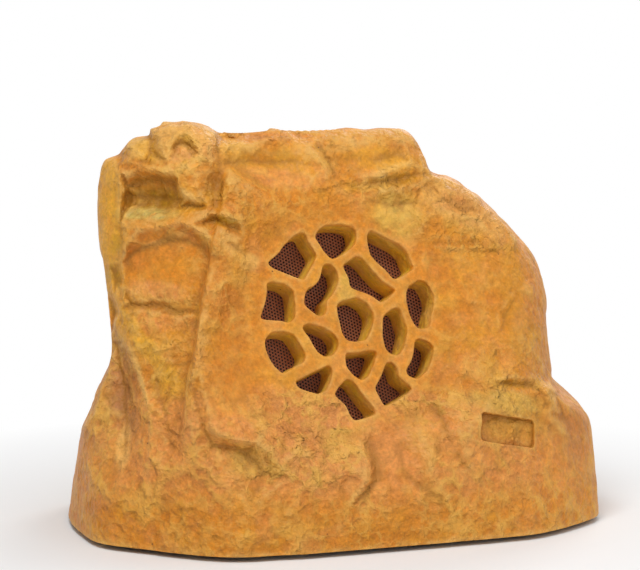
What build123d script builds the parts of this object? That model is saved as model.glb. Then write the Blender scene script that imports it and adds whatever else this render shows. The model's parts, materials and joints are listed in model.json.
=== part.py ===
from build123d import *
import os
from math import atan2, cos, degrees, hypot, radians, sin

os.makedirs("parts", exist_ok=True)

# Rock shaped garden speaker, in millimetres and degrees.
# +Z is up, the lattice looks towards -Y, and the origin is on the ground under the middle of the object.
# Azimuths turn from the front (-Y) towards +X, and elevations rise from level.

# Rock shell
HEART_HEIGHT = 140.0        # the point that the rock's form is measured from, above the ground
RIM_HEIGHT = 4.0            # lower edge of the shell above the ground
WALL = 7.0
EDGE_SHARPNESS = 30.0       # how crisp the edges between two facets are
MASS_BLEND = 9.0            # how far two masses of the rock run into each other
COLUMNS = 80                # facets around the rock
ROWS = 28                   # facets from the rim to the top
HOLLOW_COLUMNS = 36
HOLLOW_ROWS = 11
FRONT_CROWDING = 0.35       # how much closer the facets lie at the front than at the back
RELIEF_AZIMUTH = -20.5      # the side from which the relief is laid out
RELIEF_FADE = (-0.15, 0.25) # where the relief runs out, as the cosine of the turn away from that side
PATCH_SQUARENESS = 3        # 2 makes round patches of relief, and more makes squarer ones
REACH_UNIT = 100.0          # keeps the powers of the facets' shares in range
SEARCH_LOW = -75.0          # elevations between which the rim is looked for
SEARCH_HIGH = 20.0
SEARCH_STEPS = 30

# Lattice and perforated sheet
GRILLE_TILT = 18.6          # the lattice leans back by this much
GRILLE_REACH = 90.4         # heart to the front of the lattice
GRILLE_ACROSS = -22.3
GRILLE_UP = -8.4
FLAT_RADIUS = 80.0          # flat disc of the skin that carries the lattice
FLAT_FADE = 26.0            # width over which the disc runs out into the rock
CELL_DEPTH = 23.0
CELL_CORNER = 1.2
BOSS_RADIUS = 96.0          # thick disc of the shell behind the lattice
SHEET_RADIUS = 87.0
SHEET_THICKNESS = 1.0
SHEET_PITCH = 16.0          # coarse stand-in for the fine holes of the sheet
SHEET_HOLE_RADIUS = 5.0
SHEET_FIELD_RADIUS = 72.0
SHEET_FIELD_COUNT = 9       # holes along each side of the field before it is cut round
HEX_SIDES = 6

# Badge recess at the lower right
BADGE_AZIMUTH = 38.0
BADGE_ELEVATION = -22.0
BADGE_WIDTH = 52.0
BADGE_HEIGHT = 21.0
BADGE_CORNER = 4.0
BADGE_DEPTH = 2.5
BADGE_STEP = 4.0            # turn over which the skin's slope at the badge is measured

# Driver
GASKET_THICKNESS = 3.0
GASKET_INNER_RADIUS = 76.0
FLANGE_RADIUS = 84.0
BASKET_SHEET = 1.4
BASKET_MOUTH = 73.0         # inner radius of the basket's rim
BASKET_RIM_DEPTH = 8.0
LEDGE_RADIUS = 50.0         # step that carries the spider
LEDGE_DEPTH = 32.0
LEDGE_INNER = 42.0
BASKET_DEPTH = 46.0
BASKET_FLOOR_RADIUS = 38.0
WINDOW_COUNT = 6
WINDOW_HALF_ANGLE = 21.0
CONE_RADIUS = 61.0
CONE_DEPTH = 24.0
PAPER = 0.9
ROLL_RADIUS = 5.7
RUBBER = 0.7
BOND_GAP = 0.3              # glue line between the moving cone and its suspension
FORMER_RADIUS = 13.2
FORMER_WALL = 0.3
FORMER_STAND = 2.0          # former in front of the cone's neck
WINDING = 0.4
WINDING_HEIGHT = 8.0
MAGNET_GAP = 0.5
WHIZZER_RADIUS = 30.0
WHIZZER_RISE = 14.4
CAP_RISE = 5.0
SPIDER_WAVES = 4
SPIDER_WAVE_HEIGHT = 1.6
PLATE_RADIUS = 36.0         # pole plate and yoke
POLE_PLATE = 5.0
MAGNET_RADIUS = 40.0
MAGNET_BORE = 20.0
MAGNET_HEIGHT = 14.0
POLE_VENT = 5.0
TAG_BOARD = (24.0, 14.0, 1.6)
TAG = (4.0, 9.0, 0.6)
DRIVER_SCREW_CIRCLE = 80.0
DRIVER_SCREW_COUNT = 4
DRIVER_SCREW_TURN = 45.0
DRIVER_SCREW_RADIUS = 2.0
DRIVER_SCREW_GRIP = 12.0
SCREW_HEAD_RADIUS = 3.8
SCREW_HEAD_HEIGHT = 2.6
HOLE_CLEARANCE = 0.2
SCREW_END_ROOM = 1.0        # depth of a screw hole past the screw's end
THREAD_STAND = 2.0          # thread that stands out of a nut

# Base
PLATE_RECESS = 2.0          # base plate above the shell's lower edge
BASE_THICKNESS = 4.0
BASE_GASKET = 2.0
POCKET_WALL = 6.0           # shell outside the base plate
PLATE_CLEARANCE = 0.5
SEAT_WALL = 17.0            # shell at the ledge that the base plate is screwed to
BASE_SCREW_AZIMUTHS = (-90, -30, 30, 90, 150, -150)
BASE_SCREW_INSET = 12.0
BASE_SCREW_RADIUS = 2.0
BASE_SCREW_GRIP = 16.0
POST_RADIUS = 7.0
POST_HEIGHT = 24.0
FOOT_AZIMUTHS = (-55, 55, 128, -128)
FOOT_INSET = 40.0
FOOT_RADIUS = 14.0
FOOT_TAPER = 2.0
FOOT_SCREW_RADIUS = 2.0
FOOT_SCREW_RECESS = 3.2
NUT_RADIUS = 4.0
NUT_HEIGHT = 3.2

# Cable gland in the back of the shell
GLAND_AZIMUTH = 155.0
GLAND_HEIGHT = 45.0
LAND_DEPTH = 4.0
LAND_RADIUS = 17.0
LAND_THICKNESS = 7.0
GLAND_THREAD = 8.0
GLAND_HEX = 12.7
GLAND_WASHER = 1.5
GLAND_FLANGE = 5.0
GLAND_COLLAR = 8.0
GLAND_NUT_REACH = 20.0
GLAND_MOUTH = 4.2
SEAL_RADIUS = 6.4
SEAL_BORE = 3.25
SEAL_LENGTH = 11.0
SEAL_STAND = 0.5            # seal in front of the collar
WASHER_RADIUS = 11.7
NUT_GAP = 1.0               # dome nut to the flange
NUT_DOME = 3.0
LOCKNUT_HEIGHT = 5.0
FIT_CLEARANCE = 0.1

# Line transformer and terminal block on the base plate
CORE_PLACE = (95.0, 25.0)
CORE_WIDTH = 48.0
CORE_HEIGHT = 40.0
CORE_STACK = 16.0
LIMB = 8.0
COIL_GAP = 0.4
STRAP = 1.2
STRAP_WIDTH = 14.0
STRAP_FOOT = 12.0
BLOCK_PLACE = (40.0, 78.0)
BLOCK_SIZE = (24.0, 18.0, 15.0)
BLOCK_WIRE_RADIUS = 2.2
BLOCK_WIRE_HEIGHT = 5.0
BLOCK_WAY_SIDE = 4.0        # wire ways each side of the middle
BLOCK_SCREW_SIDE = 8.0      # fixing screws each side of the middle
BLOCK_SCREW_RADIUS = 1.8
BLOCK_HEAD_RADIUS = 3.1
CLAMP_SCREW_DEPTH = 1.0     # clamping screw under the top of the block

# Wires inside
LEAD_RADIUS = 1.0
LEAD_BEND = 6.0
LEAD_LIFT = 0.1             # wire above the base plate
LEAD_START = 16.0           # straight run from a solder tag
LEAD_SPACING = 6.0          # between the runs of a pair
COIL_ENTRY = 12.0           # height at which a wire meets the coil, above the coil's foot
BLOCK_EXIT = 12.0           # straight run out of the terminal block

# The rock is made of leaning masses. Each mass is a set of facets, and each facet has the azimuth
# and elevation that it faces and its distance from the heart.
FOOTPRINT = [(0, -2, 140), (-45, 0, 182), (-90, 0, 203), (-135, 0, 207),
             (180, 5, 118), (135, 3, 180), (90, 0, 205), (45, 0, 203)]
FRONT = (0, GRILLE_TILT, GRILLE_REACH)
SIDES = [FRONT, (-45, 5, 138), (-106, 4, 163), (-150, 12, 142),
         (180, 16, 112), (130, 14, 148), (66, 5, 165), (36, 12, 142)]
MASSES = {
    "block": SIDES + [(69.5, 42.7, 155), (69.5, 71, 143), (-110, 47, 209), (0, 90, 158), (180, 55, 168)],
    "top_slab": SIDES + [(69.5, 23.6, 118), (75, 87, 157), (-110, 47, 209), (180, 55, 165)],
    "left_column": [FRONT, (-45, 5, 140), (-104, 3, 184), (-110, -15, 157), (-110, 84, 154),
                    (-160, 10, 110), (180, 16, 108), (20, 20, 80), (100, 20, 60)],
    "left_foot": [(-8, 19, 92), (-110.5, 13.5, 168), (-110.5, 27.5, 150), (-110.5, 4, 208), (-60, 24, 146),
                  (-160, 20, 130), (0, 90, 60), (20, 20, 88), (70, 10, 80)],
    "right_foot": [(4, 17, 94), (69.5, 16, 176), (69.5, 54.7, 66), (69.5, 0, 208), (30, 8, 154),
                   (140, 14, 130), (180, 45, 80), (-110, 10, 100)],
    "front_ledge": [(-12, 8, 113), (-10, 45, 46), (30, 10, 132), (-50, 12, 136), (-110, 20, 100),
                    (90, 20, 120), (180, 45, 80)],
}

# Relief on the front: place across and up from the heart as seen from RELIEF_AZIMUTH, half width,
# half height, turn, height of the lump (or depth of the hollow) and softness of its edge.
RELIEF = {
    "knob": (-126, 153, 33, 18, 0, 7, 0.2),
    "deep_hollow": (-128, 113, 21, 20, 0, -15, 0.3),
    "hollow_end": (-103, 106, 14, 8, -20, -6, 0.4),
    "dark_facet": (-92, 122, 8, 13, 10, -6, 0.4),
    "upper_lip": (-122, 89, 35, 6, -4, 5, 0.6),
    "broad_facet": (-117, 62, 36, 24, 0, -7, 0.22),
    "ridge_strip": (-131, 11, 43, 8, -59, 7, 0.5),
    "valley": (-75, 47, 12, 43, 8, -5, 0.9),
    "smooth_pan": (-69, -26, 25, 25, 0, -6, 0.9),
    "rough_bulge": (-24, -38, 37, 9, -8, 7, 0.5),
    "upper_scoop": (48, 102, 28, 20, -30, -8, 0.5),
    "corner_slab": (34, 140, 35, 15, 0, 5, 0.25),
    "band_pan": (-48, 130, 32, 17, -8, -5, 0.7),
    "side_notch": (136, -28, 20, 6, 8, -6, 0.6),
}

# Outlines of the lattice cells, across and up from the middle of the lattice
CELLS = {
    "top_left": [(-56, 47), (-46, 54), (-41, 60), (-32, 67), (-26, 69), (-24, 67), (-22, 61), (-18, 54),
                 (-17, 51), (-21, 45), (-25, 39), (-29, 33), (-36, 36), (-43, 39), (-52, 43)],
    "top": [(-17, 65), (-13, 71), (-7, 74), (4, 74), (10, 73), (15, 71), (16, 64), (13, 58), (6, 53),
            (1, 50), (-6, 48), (-11, 54), (-14, 60)],
    "top_right": [(24, 65), (27, 69), (33, 66), (42, 61), (49, 57), (54, 52), (58, 39), (53, 36), (47, 33),
                  (41, 31), (36, 38), (30, 44), (25, 50), (24, 58)],
    "right_upper": [(50, 22), (53, 26), (61, 30), (67, 28), (71, 19), (71, 12), (67, 2), (65, -5), (61, -7),
                    (55, -6), (52, -1), (50, 6), (49, 15)],
    "right_lower": [(52, -15), (56, -14), (62, -16), (66, -21), (64, -29), (59, -38), (50, -44), (43, -41),
                    (42, -37), (47, -31), (50, -24)],
    "left": [(-58, 32), (-53, 33), (-44, 31), (-38, 26), (-38, 16), (-39, 6), (-44, 2), (-50, 4), (-60, 5),
             (-66, 6), (-63, 12), (-60, 19), (-58, 26)],
    "inner_left": [(-13, 44), (-8, 45), (-3, 40), (-2, 33), (-5, 26), (-9, 21), (-14, 17), (-14, 11), (-16, 7),
                   (-21, 6), (-27, 11), (-31, 15), (-30, 21), (-27, 27), (-21, 29), (-17, 33), (-15, 38)],
    "inner_top": [(2, 43), (7, 46), (14, 50), (19, 47), (24, 40), (32, 30), (42, 23), (36, 18), (29, 14),
                  (23, 19), (17, 22), (9, 25), (6, 27), (6, 33), (4, 38)],
    "centre": [(-6, 14), (-1, 17), (10, 19), (18, 14), (22, 6), (21, 0), (18, -7), (14, -13), (6, -14),
               (-1, -13), (-4, -8), (-5, 0), (-6, 7)],
    "inner_right": [(29, 3), (32, 6), (39, 10), (43, 9), (45, 3), (47, -7), (45, -13), (42, -21), (37, -26),
                    (31, -24), (28, -20), (27, -11), (28, -4)],
    "left_lower": [(-64, -10), (-60, -5), (-56, -4), (-49, -4), (-42, -6), (-38, -13), (-34, -22), (-36, -27),
                   (-44, -30), (-53, -35), (-59, -29), (-62, -23), (-64, -16)],
    "inner_lower": [(-35, -1), (-29, 1), (-19, -2), (-11, -7), (-8, -12), (-9, -18), (-13, -23), (-20, -24),
                    (-25, -20), (-28, -14), (-30, -9), (-33, -5)],
    "lower_middle": [(-4, -25), (-3, -22), (5, -22), (15, -21), (21, -22), (18, -30), (12, -40), (7, -43),
                     (1, -39), (-4, -32)],
    "bottom_left": [(-45, -41), (-40, -39), (-30, -35), (-17, -30), (-15, -34), (-17, -41), (-21, -48),
                    (-27, -51), (-34, -49), (-42, -46)],
    "bottom": [(-16, -52), (-11, -46), (-5, -41), (0, -43), (6, -53), (13, -63), (15, -68), (7, -70),
               (-3, -72), (-6, -66), (-8, -60), (-12, -56)],
    "bottom_right": [(27, -31), (31, -30), (35, -34), (36, -42), (41, -46), (46, -51), (40, -55), (31, -59),
                     (22, -63), (19, -56), (16, -49), (22, -41), (25, -35)],
}


def facing(azimuth, elevation=0.0):
    """Direction that looks towards an azimuth and an elevation."""
    a = radians(azimuth)
    e = radians(elevation)
    return (sin(a) * cos(e), -cos(a) * cos(e), sin(e))


def dot(first, second):
    return sum(a * b for a, b in zip(first, second))


def ease(low, high, value):
    """Smooth step from 0 at low to 1 at high."""
    share = min(max((value - low) / (high - low), 0.0), 1.0)
    return share * share * (3.0 - 2.0 * share)


FACETS = {name: [(facing(azimuth, elevation), distance) for azimuth, elevation, distance in rows + FOOTPRINT]
          for name, rows in MASSES.items()}
RELIEF_SIDE = facing(RELIEF_AZIMUTH + 90.0)
RELIEF_FRONT = facing(RELIEF_AZIMUTH)
GRILLE_FACING = facing(0.0, GRILLE_TILT)
GRILLE_RISING = facing(180.0, 90.0 - GRILLE_TILT)


def mass_reach(direction, facets, inset):
    """Distance from the heart to one mass, whose facets meet in softened edges."""
    total = 0.0
    for normal, distance in facets:
        share = dot(direction, normal) / (distance - inset)
        if share > 0.0:
            total += (REACH_UNIT * share) ** EDGE_SHARPNESS
    return REACH_UNIT * total ** (-1.0 / EDGE_SHARPNESS)


def joined(first, second):
    """The larger of two reaches, with a soft valley where they are alike."""
    overlap = max(MASS_BLEND - abs(first - second), 0.0) / MASS_BLEND
    return max(first, second) + overlap * overlap * MASS_BLEND / 4.0


def relief(direction, reach, inset):
    """Lumps and hollows of the front. The inside of the wall follows the hollows alone."""
    across = reach * dot(direction, RELIEF_SIDE)
    up = reach * direction[2]
    height = 0.0
    for place_across, place_up, half_width, half_height, turn, rise, softness in RELIEF.values():
        if inset > 0.0 and rise > 0.0:
            continue
        c = cos(radians(turn))
        s = sin(radians(turn))
        along = ((across - place_across) * c + (up - place_up) * s) / (half_width + inset)
        over = ((up - place_up) * c - (across - place_across) * s) / (half_height + inset)
        spread = (abs(along) ** PATCH_SQUARENESS + abs(over) ** PATCH_SQUARENESS) ** (1.0 / PATCH_SQUARENESS)
        height += rise * (1.0 - ease(1.0 - softness, 1.0 + softness, spread))
    return height * ease(*RELIEF_FADE, dot(direction, RELIEF_FRONT))


def flattened(direction, reach, inset):
    """Reach that lies in the lattice's front plane on the disc that carries the lattice."""
    ahead = dot(direction, GRILLE_FACING)
    if ahead <= 0.0:
        return reach
    plane_reach = GRILLE_REACH / ahead
    across = plane_reach * direction[0] - GRILLE_ACROSS
    up = plane_reach * dot(direction, GRILLE_RISING) - GRILLE_UP
    share = 1.0 - ease(FLAT_RADIUS, FLAT_RADIUS + FLAT_FADE, hypot(across, up))
    return reach + share * ((GRILLE_REACH - inset) / ahead - reach)


def skin(azimuth, elevation, inset=0.0):
    """Point of the rock's skin, or of a surface that lies deeper by the inset, from the heart."""
    direction = facing(azimuth, elevation)
    reach = 0.0
    for facets in FACETS.values():
        reach = joined(reach, mass_reach(direction, facets, inset))
    reach += relief(direction, reach, inset)
    return Vector(*direction) * flattened(direction, reach, inset)


def skin_at_height(azimuth, height, inset=0.0):
    """Elevation and point at which the skin passes a height above the ground."""
    low = SEARCH_LOW
    high = SEARCH_HIGH
    for _ in range(SEARCH_STEPS):
        middle = (low + high) / 2.0
        if skin(azimuth, middle, inset).Z + HEART_HEIGHT < height:
            low = middle
        else:
            high = middle
    return high, skin(azimuth, high, inset)


def ring_azimuths(count):
    """Azimuths around the rock, crowded at the front."""
    turns = [360.0 * k / count for k in range(count)]
    return [RELIEF_AZIMUTH + t - degrees(FRONT_CROWDING * sin(radians(t))) for t in turns]


def level_ring(count, height, inset):
    """Outline of the rock at one height."""
    points = [skin_at_height(azimuth, height, inset)[1] for azimuth in ring_azimuths(count)]
    return [Vector(p.X, p.Y, height - HEART_HEIGHT) for p in points]


def rock_rings(columns, rows, height, inset):
    """Rings of points from a height up to the top of the rock, and the top."""
    azimuths = ring_azimuths(columns)
    starts = [skin_at_height(azimuth, height, inset)[0] for azimuth in azimuths]
    rings = [level_ring(columns, height, inset)]
    for k in range(1, rows):
        share = k / rows
        rings.append([skin(a, s + (90.0 - s) * share, inset) for a, s in zip(azimuths, starts)])
    return rings, skin(0.0, 90.0, inset)


def faceted(rings, top):
    """Closed solid of flat facets over rings of points."""
    count = len(rings[0])
    outlines = [rings[0]]
    for lower, upper in zip(rings, rings[1:]):
        for k in range(count):
            after = (k + 1) % count
            outlines.append([lower[k], lower[after], upper[after]])
            outlines.append([lower[k], upper[after], upper[k]])
    for k in range(count):
        outlines.append([rings[-1][k], rings[-1][(k + 1) % count], top])
    faces = [Face(Wire.make_polygon([HEART + p for p in points], close=True)) for points in outlines]
    return Solid(Shell(faces))


# Heights in the base, from the ground up
PLATE_BOTTOM = RIM_HEIGHT + PLATE_RECESS
PLATE_TOP = PLATE_BOTTOM + BASE_THICKNESS
SEAT_HEIGHT = PLATE_TOP + BASE_GASKET

# The heart's place puts the middle of the object, gland included, over the origin
OUTER_RINGS, OUTER_TOP = rock_rings(COLUMNS, ROWS, RIM_HEIGHT, 0.0)
GLAND_POINT = skin_at_height(GLAND_AZIMUTH, GLAND_HEIGHT)[1]
GLAND_TIP = GLAND_POINT.Y - LAND_DEPTH + GLAND_NUT_REACH
SIDE_REACH = [p.X for ring in OUTER_RINGS for p in ring]
DEPTH_REACH = [p.Y for ring in OUTER_RINGS for p in ring] + [GLAND_TIP]
HEART_X = -(min(SIDE_REACH) + max(SIDE_REACH)) / 2.0
HEART_Y = -(min(DEPTH_REACH) + max(DEPTH_REACH)) / 2.0
HEART = Vector(HEART_X, HEART_Y, HEART_HEIGHT)

# Seats of the parts
GRILLE_NORMAL = Vector(*GRILLE_FACING)
GRILLE_RISE = Vector(*GRILLE_RISING)
GRILLE_CENTRE = HEART + GRILLE_NORMAL * GRILLE_REACH + Vector(GRILLE_ACROSS, 0, 0) + GRILLE_RISE * GRILLE_UP
GRILLE = Plane(origin=GRILLE_CENTRE, x_dir=(1, 0, 0), z_dir=GRILLE_NORMAL)
SHEET_SEAT = GRILLE.offset(-CELL_DEPTH)
DRIVER = GRILLE.offset(-CELL_DEPTH - SHEET_THICKNESS - GASKET_THICKNESS)
DRIVER_AXIS = Axis(DRIVER.origin, DRIVER.z_dir)
DRIVER_SIDE = Plane(origin=DRIVER.origin, x_dir=DRIVER.x_dir, z_dir=-DRIVER.y_dir)
GLAND = Plane(origin=HEART + Vector(GLAND_POINT.X, GLAND_POINT.Y - LAND_DEPTH, GLAND_HEIGHT - HEART_HEIGHT),
              x_dir=(1, 0, 0), z_dir=(0, 1, 0))
GLAND_AXIS = Axis(GLAND.origin, GLAND.z_dir)
GLAND_SIDE = Plane(origin=GLAND.origin, x_dir=GLAND.x_dir, z_dir=-GLAND.y_dir)
BADGE_POINT = skin(BADGE_AZIMUTH, BADGE_ELEVATION)
BADGE_LEFT = skin(BADGE_AZIMUTH - BADGE_STEP, BADGE_ELEVATION)
BADGE_RIGHT = skin(BADGE_AZIMUTH + BADGE_STEP, BADGE_ELEVATION)
BADGE_LOW = skin(BADGE_AZIMUTH, BADGE_ELEVATION - BADGE_STEP)
BADGE_HIGH = skin(BADGE_AZIMUTH, BADGE_ELEVATION + BADGE_STEP)
BADGE_FACING = (BADGE_RIGHT - BADGE_LEFT).cross(BADGE_HIGH - BADGE_LOW)
BADGE = Plane(origin=HEART + BADGE_POINT, x_dir=BADGE_RIGHT - BADGE_LEFT, z_dir=BADGE_FACING)


def floor_places(azimuths, inset):
    """Places on the base plate, set in from the rock's outline."""
    points = [skin_at_height(azimuth, PLATE_TOP, inset)[1] for azimuth in azimuths]
    return [(HEART.X + p.X, HEART.Y + p.Y) for p in points]


def outline_at(height, inset):
    """Closed outline of the rock on the ground plan, at one height."""
    return [(HEART.X + p.X, HEART.Y + p.Y) for p in level_ring(HOLLOW_COLUMNS, height, inset)]


BASE_SCREWS = floor_places(BASE_SCREW_AZIMUTHS, BASE_SCREW_INSET)
FEET = floor_places(FOOT_AZIMUTHS, FOOT_INSET)
CORE_FEET_X = CORE_WIDTH / 2.0 + STRAP + STRAP_FOOT / 2.0
CORE_SCREWS = [(CORE_PLACE[0] + side * CORE_FEET_X, CORE_PLACE[1]) for side in (-1, 1)]
BLOCK_SCREWS = [(BLOCK_PLACE[0] + side * BLOCK_SCREW_SIDE, BLOCK_PLACE[1]) for side in (-1, 1)]

# Hollow of the shell, less the disc behind the lattice, the screw posts and the gland's pad
HOLLOW_RINGS, HOLLOW_TOP = rock_rings(HOLLOW_COLUMNS, HOLLOW_ROWS, SEAT_HEIGHT, WALL)
HOLLOW_MOUTH = level_ring(HOLLOW_COLUMNS, SEAT_HEIGHT, SEAT_WALL)
HOLLOW_RINGS[0] = HOLLOW_MOUTH
HOLLOW_RINGS.insert(0, [p - Vector(0, 0, BASE_GASKET) for p in HOLLOW_MOUTH])
with BuildPart() as hollow:
    add(faceted(HOLLOW_RINGS, HOLLOW_TOP))
    with BuildSketch(SHEET_SEAT):
        Circle(BOSS_RADIUS)
    extrude(amount=2.0 * BOSS_RADIUS, mode=Mode.SUBTRACT)
    with BuildSketch(Plane.XY.offset(SEAT_HEIGHT)):
        with Locations(*BASE_SCREWS):
            Circle(POST_RADIUS)
    extrude(amount=POST_HEIGHT, mode=Mode.SUBTRACT)
    with BuildSketch(GLAND.offset(-LAND_THICKNESS)):
        Circle(LAND_RADIUS + LAND_THICKNESS)
    extrude(amount=LAND_RADIUS + LAND_THICKNESS, mode=Mode.SUBTRACT)

# Rock shell with its lattice, in one casting
with BuildPart() as rock_shell:
    add(faceted(OUTER_RINGS, OUTER_TOP))
    add(hollow.part, mode=Mode.SUBTRACT)
    with BuildSketch(Plane.XY.offset(SEAT_HEIGHT)):
        Polygon(*outline_at(RIM_HEIGHT, POCKET_WALL), align=None)
    extrude(amount=-SEAT_HEIGHT, mode=Mode.SUBTRACT)
    with BuildSketch(SHEET_SEAT) as cells:
        for outline in CELLS.values():
            Polygon(*outline, align=None)
        fillet(cells.vertices(), CELL_CORNER)
    extrude(amount=2.0 * CELL_DEPTH, mode=Mode.SUBTRACT)
    with BuildSketch(SHEET_SEAT):
        with PolarLocations(DRIVER_SCREW_CIRCLE, DRIVER_SCREW_COUNT, DRIVER_SCREW_TURN):
            Circle(DRIVER_SCREW_RADIUS)
    extrude(amount=DRIVER_SCREW_GRIP, mode=Mode.SUBTRACT)
    with BuildSketch(Plane.XY.offset(SEAT_HEIGHT)):
        with Locations(*BASE_SCREWS):
            Circle(BASE_SCREW_RADIUS)
    extrude(amount=BASE_SCREW_GRIP, mode=Mode.SUBTRACT)
    with BuildSketch(GLAND):
        Circle(LAND_RADIUS)
    extrude(amount=LAND_RADIUS, mode=Mode.SUBTRACT)
    with BuildSketch(GLAND.offset(-LAND_THICKNESS)):
        Circle(LAND_RADIUS)
    extrude(amount=-LAND_RADIUS, mode=Mode.SUBTRACT)
    with BuildSketch(GLAND.offset(-LAND_THICKNESS)):
        Circle(GLAND_THREAD + HOLE_CLEARANCE)
    extrude(amount=LAND_THICKNESS, mode=Mode.SUBTRACT)
    with BuildSketch(BADGE.offset(-BADGE_DEPTH)):
        RectangleRounded(BADGE_WIDTH, BADGE_HEIGHT, BADGE_CORNER)
    extrude(amount=4.0 * BADGE_DEPTH, mode=Mode.SUBTRACT)
rock_shell.part.label = "rock_shell"
export_step(rock_shell.part, "parts/rock_shell.step")

# Perforated sheet behind the lattice
with BuildPart() as perforated_grille:
    with BuildSketch(SHEET_SEAT) as sheet:
        Circle(SHEET_RADIUS)
        with PolarLocations(DRIVER_SCREW_CIRCLE, DRIVER_SCREW_COUNT, DRIVER_SCREW_TURN):
            Circle(DRIVER_SCREW_RADIUS + HOLE_CLEARANCE, mode=Mode.SUBTRACT)
        with HexLocations(SHEET_PITCH / 2.0, SHEET_FIELD_COUNT, SHEET_FIELD_COUNT) as field:
            holes = [p for p in field.local_locations if p.position.length < SHEET_FIELD_RADIUS]
        with Locations(*[p.position for p in holes]):
            RegularPolygon(SHEET_HOLE_RADIUS, HEX_SIDES, mode=Mode.SUBTRACT)
    extrude(amount=-SHEET_THICKNESS)
perforated_grille.part.label = "perforated_grille"
export_step(perforated_grille.part, "parts/perforated_grille.step")

# Foam gasket between the sheet and the driver
with BuildPart() as speaker_gasket:
    with BuildSketch(DRIVER):
        Circle(FLANGE_RADIUS)
        Circle(GASKET_INNER_RADIUS, mode=Mode.SUBTRACT)
        with PolarLocations(DRIVER_SCREW_CIRCLE, DRIVER_SCREW_COUNT, DRIVER_SCREW_TURN):
            Circle(DRIVER_SCREW_RADIUS + HOLE_CLEARANCE, mode=Mode.SUBTRACT)
    extrude(amount=GASKET_THICKNESS)
speaker_gasket.part.label = "speaker_gasket"
export_step(speaker_gasket.part, "parts/speaker_gasket.step")

# Pressed basket: rim, windowed cone, ledge for the spider and floor
FLOOR_BORE = FORMER_RADIUS + WINDING + MAGNET_GAP
with BuildPart() as driver_basket:
    with BuildSketch(DRIVER_SIDE):
        with BuildLine():
            Polyline((FLANGE_RADIUS, 0), (BASKET_MOUTH, 0), (BASKET_MOUTH, -BASKET_RIM_DEPTH),
                     (LEDGE_RADIUS, -LEDGE_DEPTH), (LEDGE_INNER, -LEDGE_DEPTH),
                     (BASKET_FLOOR_RADIUS, -BASKET_DEPTH), (FLOOR_BORE, -BASKET_DEPTH),
                     (FLOOR_BORE, -BASKET_DEPTH - BASKET_SHEET),
                     (BASKET_FLOOR_RADIUS + BASKET_SHEET, -BASKET_DEPTH - BASKET_SHEET),
                     (LEDGE_INNER + BASKET_SHEET, -LEDGE_DEPTH - BASKET_SHEET),
                     (LEDGE_RADIUS + BASKET_SHEET, -LEDGE_DEPTH - BASKET_SHEET),
                     (BASKET_MOUTH + BASKET_SHEET, -BASKET_RIM_DEPTH - BASKET_SHEET),
                     (BASKET_MOUTH + BASKET_SHEET, -BASKET_SHEET), (FLANGE_RADIUS, -BASKET_SHEET), close=True)
        make_face()
    revolve(axis=DRIVER_AXIS)
    with BuildSketch(DRIVER.offset(-LEDGE_DEPTH)):
        inner = LEDGE_RADIUS + 3.0 * BASKET_SHEET
        outer = BASKET_MOUTH - 2.0 * BASKET_SHEET
        turn = radians(WINDOW_HALF_ANGLE)
        with PolarLocations(0, WINDOW_COUNT):
            Polygon((inner * cos(turn), -inner * sin(turn)), (outer * cos(turn), -outer * sin(turn)),
                    (outer * cos(turn), outer * sin(turn)), (inner * cos(turn), inner * sin(turn)), align=None)
    extrude(amount=LEDGE_DEPTH - BASKET_RIM_DEPTH, mode=Mode.SUBTRACT)
    with BuildSketch(DRIVER):
        with PolarLocations(DRIVER_SCREW_CIRCLE, DRIVER_SCREW_COUNT, DRIVER_SCREW_TURN):
            Circle(DRIVER_SCREW_RADIUS + HOLE_CLEARANCE)
    extrude(amount=-BASKET_SHEET, mode=Mode.SUBTRACT)
driver_basket.part.label = "driver_basket"
export_step(driver_basket.part, "parts/driver_basket.step")


def turned_ring(inner, outer, low, high):
    """Plain ring about the driver's axis."""
    with BuildPart() as ring:
        with BuildSketch(DRIVER.offset(low)):
            Circle(outer)
            Circle(inner, mode=Mode.SUBTRACT)
        extrude(amount=high - low)
    return ring


# Rubber surround, rolled inwards
ROLL_CENTRE = CONE_RADIUS + BOND_GAP + ROLL_RADIUS
with BuildPart() as surround:
    with BuildSketch(DRIVER_SIDE):
        with Locations((ROLL_CENTRE, 0)):
            Circle(ROLL_RADIUS)
            Circle(ROLL_RADIUS - RUBBER, mode=Mode.SUBTRACT)
            Rectangle(2.0 * ROLL_RADIUS, ROLL_RADIUS, align=(Align.CENTER, Align.MIN), mode=Mode.SUBTRACT)
        with Locations((ROLL_CENTRE + ROLL_RADIUS - RUBBER, 0)):
            Rectangle(GASKET_INNER_RADIUS - BOND_GAP - ROLL_CENTRE - ROLL_RADIUS + RUBBER, RUBBER,
                      align=(Align.MIN, Align.MIN))
    revolve(axis=DRIVER_AXIS)
surround.part.label = "surround"
export_step(surround.part, "parts/surround.step")

# Paper cone
with BuildPart() as cone:
    with BuildSketch(DRIVER_SIDE):
        Polygon((FORMER_RADIUS, -CONE_DEPTH), (CONE_RADIUS, 0), (CONE_RADIUS, -PAPER),
                (FORMER_RADIUS, -CONE_DEPTH - PAPER), align=None)
    revolve(axis=DRIVER_AXIS)
cone.part.label = "cone"
export_step(cone.part, "parts/cone.step")

# Small second cone for the high notes
WHIZZER_FOOT = -CONE_DEPTH + FORMER_STAND - PAPER
with BuildPart() as whizzer_cone:
    with BuildSketch(DRIVER_SIDE):
        Polygon((FORMER_RADIUS, WHIZZER_FOOT), (FORMER_RADIUS, WHIZZER_FOOT + PAPER / 2.0),
                (WHIZZER_RADIUS, WHIZZER_FOOT + PAPER / 2.0 + WHIZZER_RISE),
                (WHIZZER_RADIUS, WHIZZER_FOOT + WHIZZER_RISE), align=None)
    revolve(axis=DRIVER_AXIS)
whizzer_cone.part.label = "whizzer_cone"
export_step(whizzer_cone.part, "parts/whizzer_cone.step")

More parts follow.
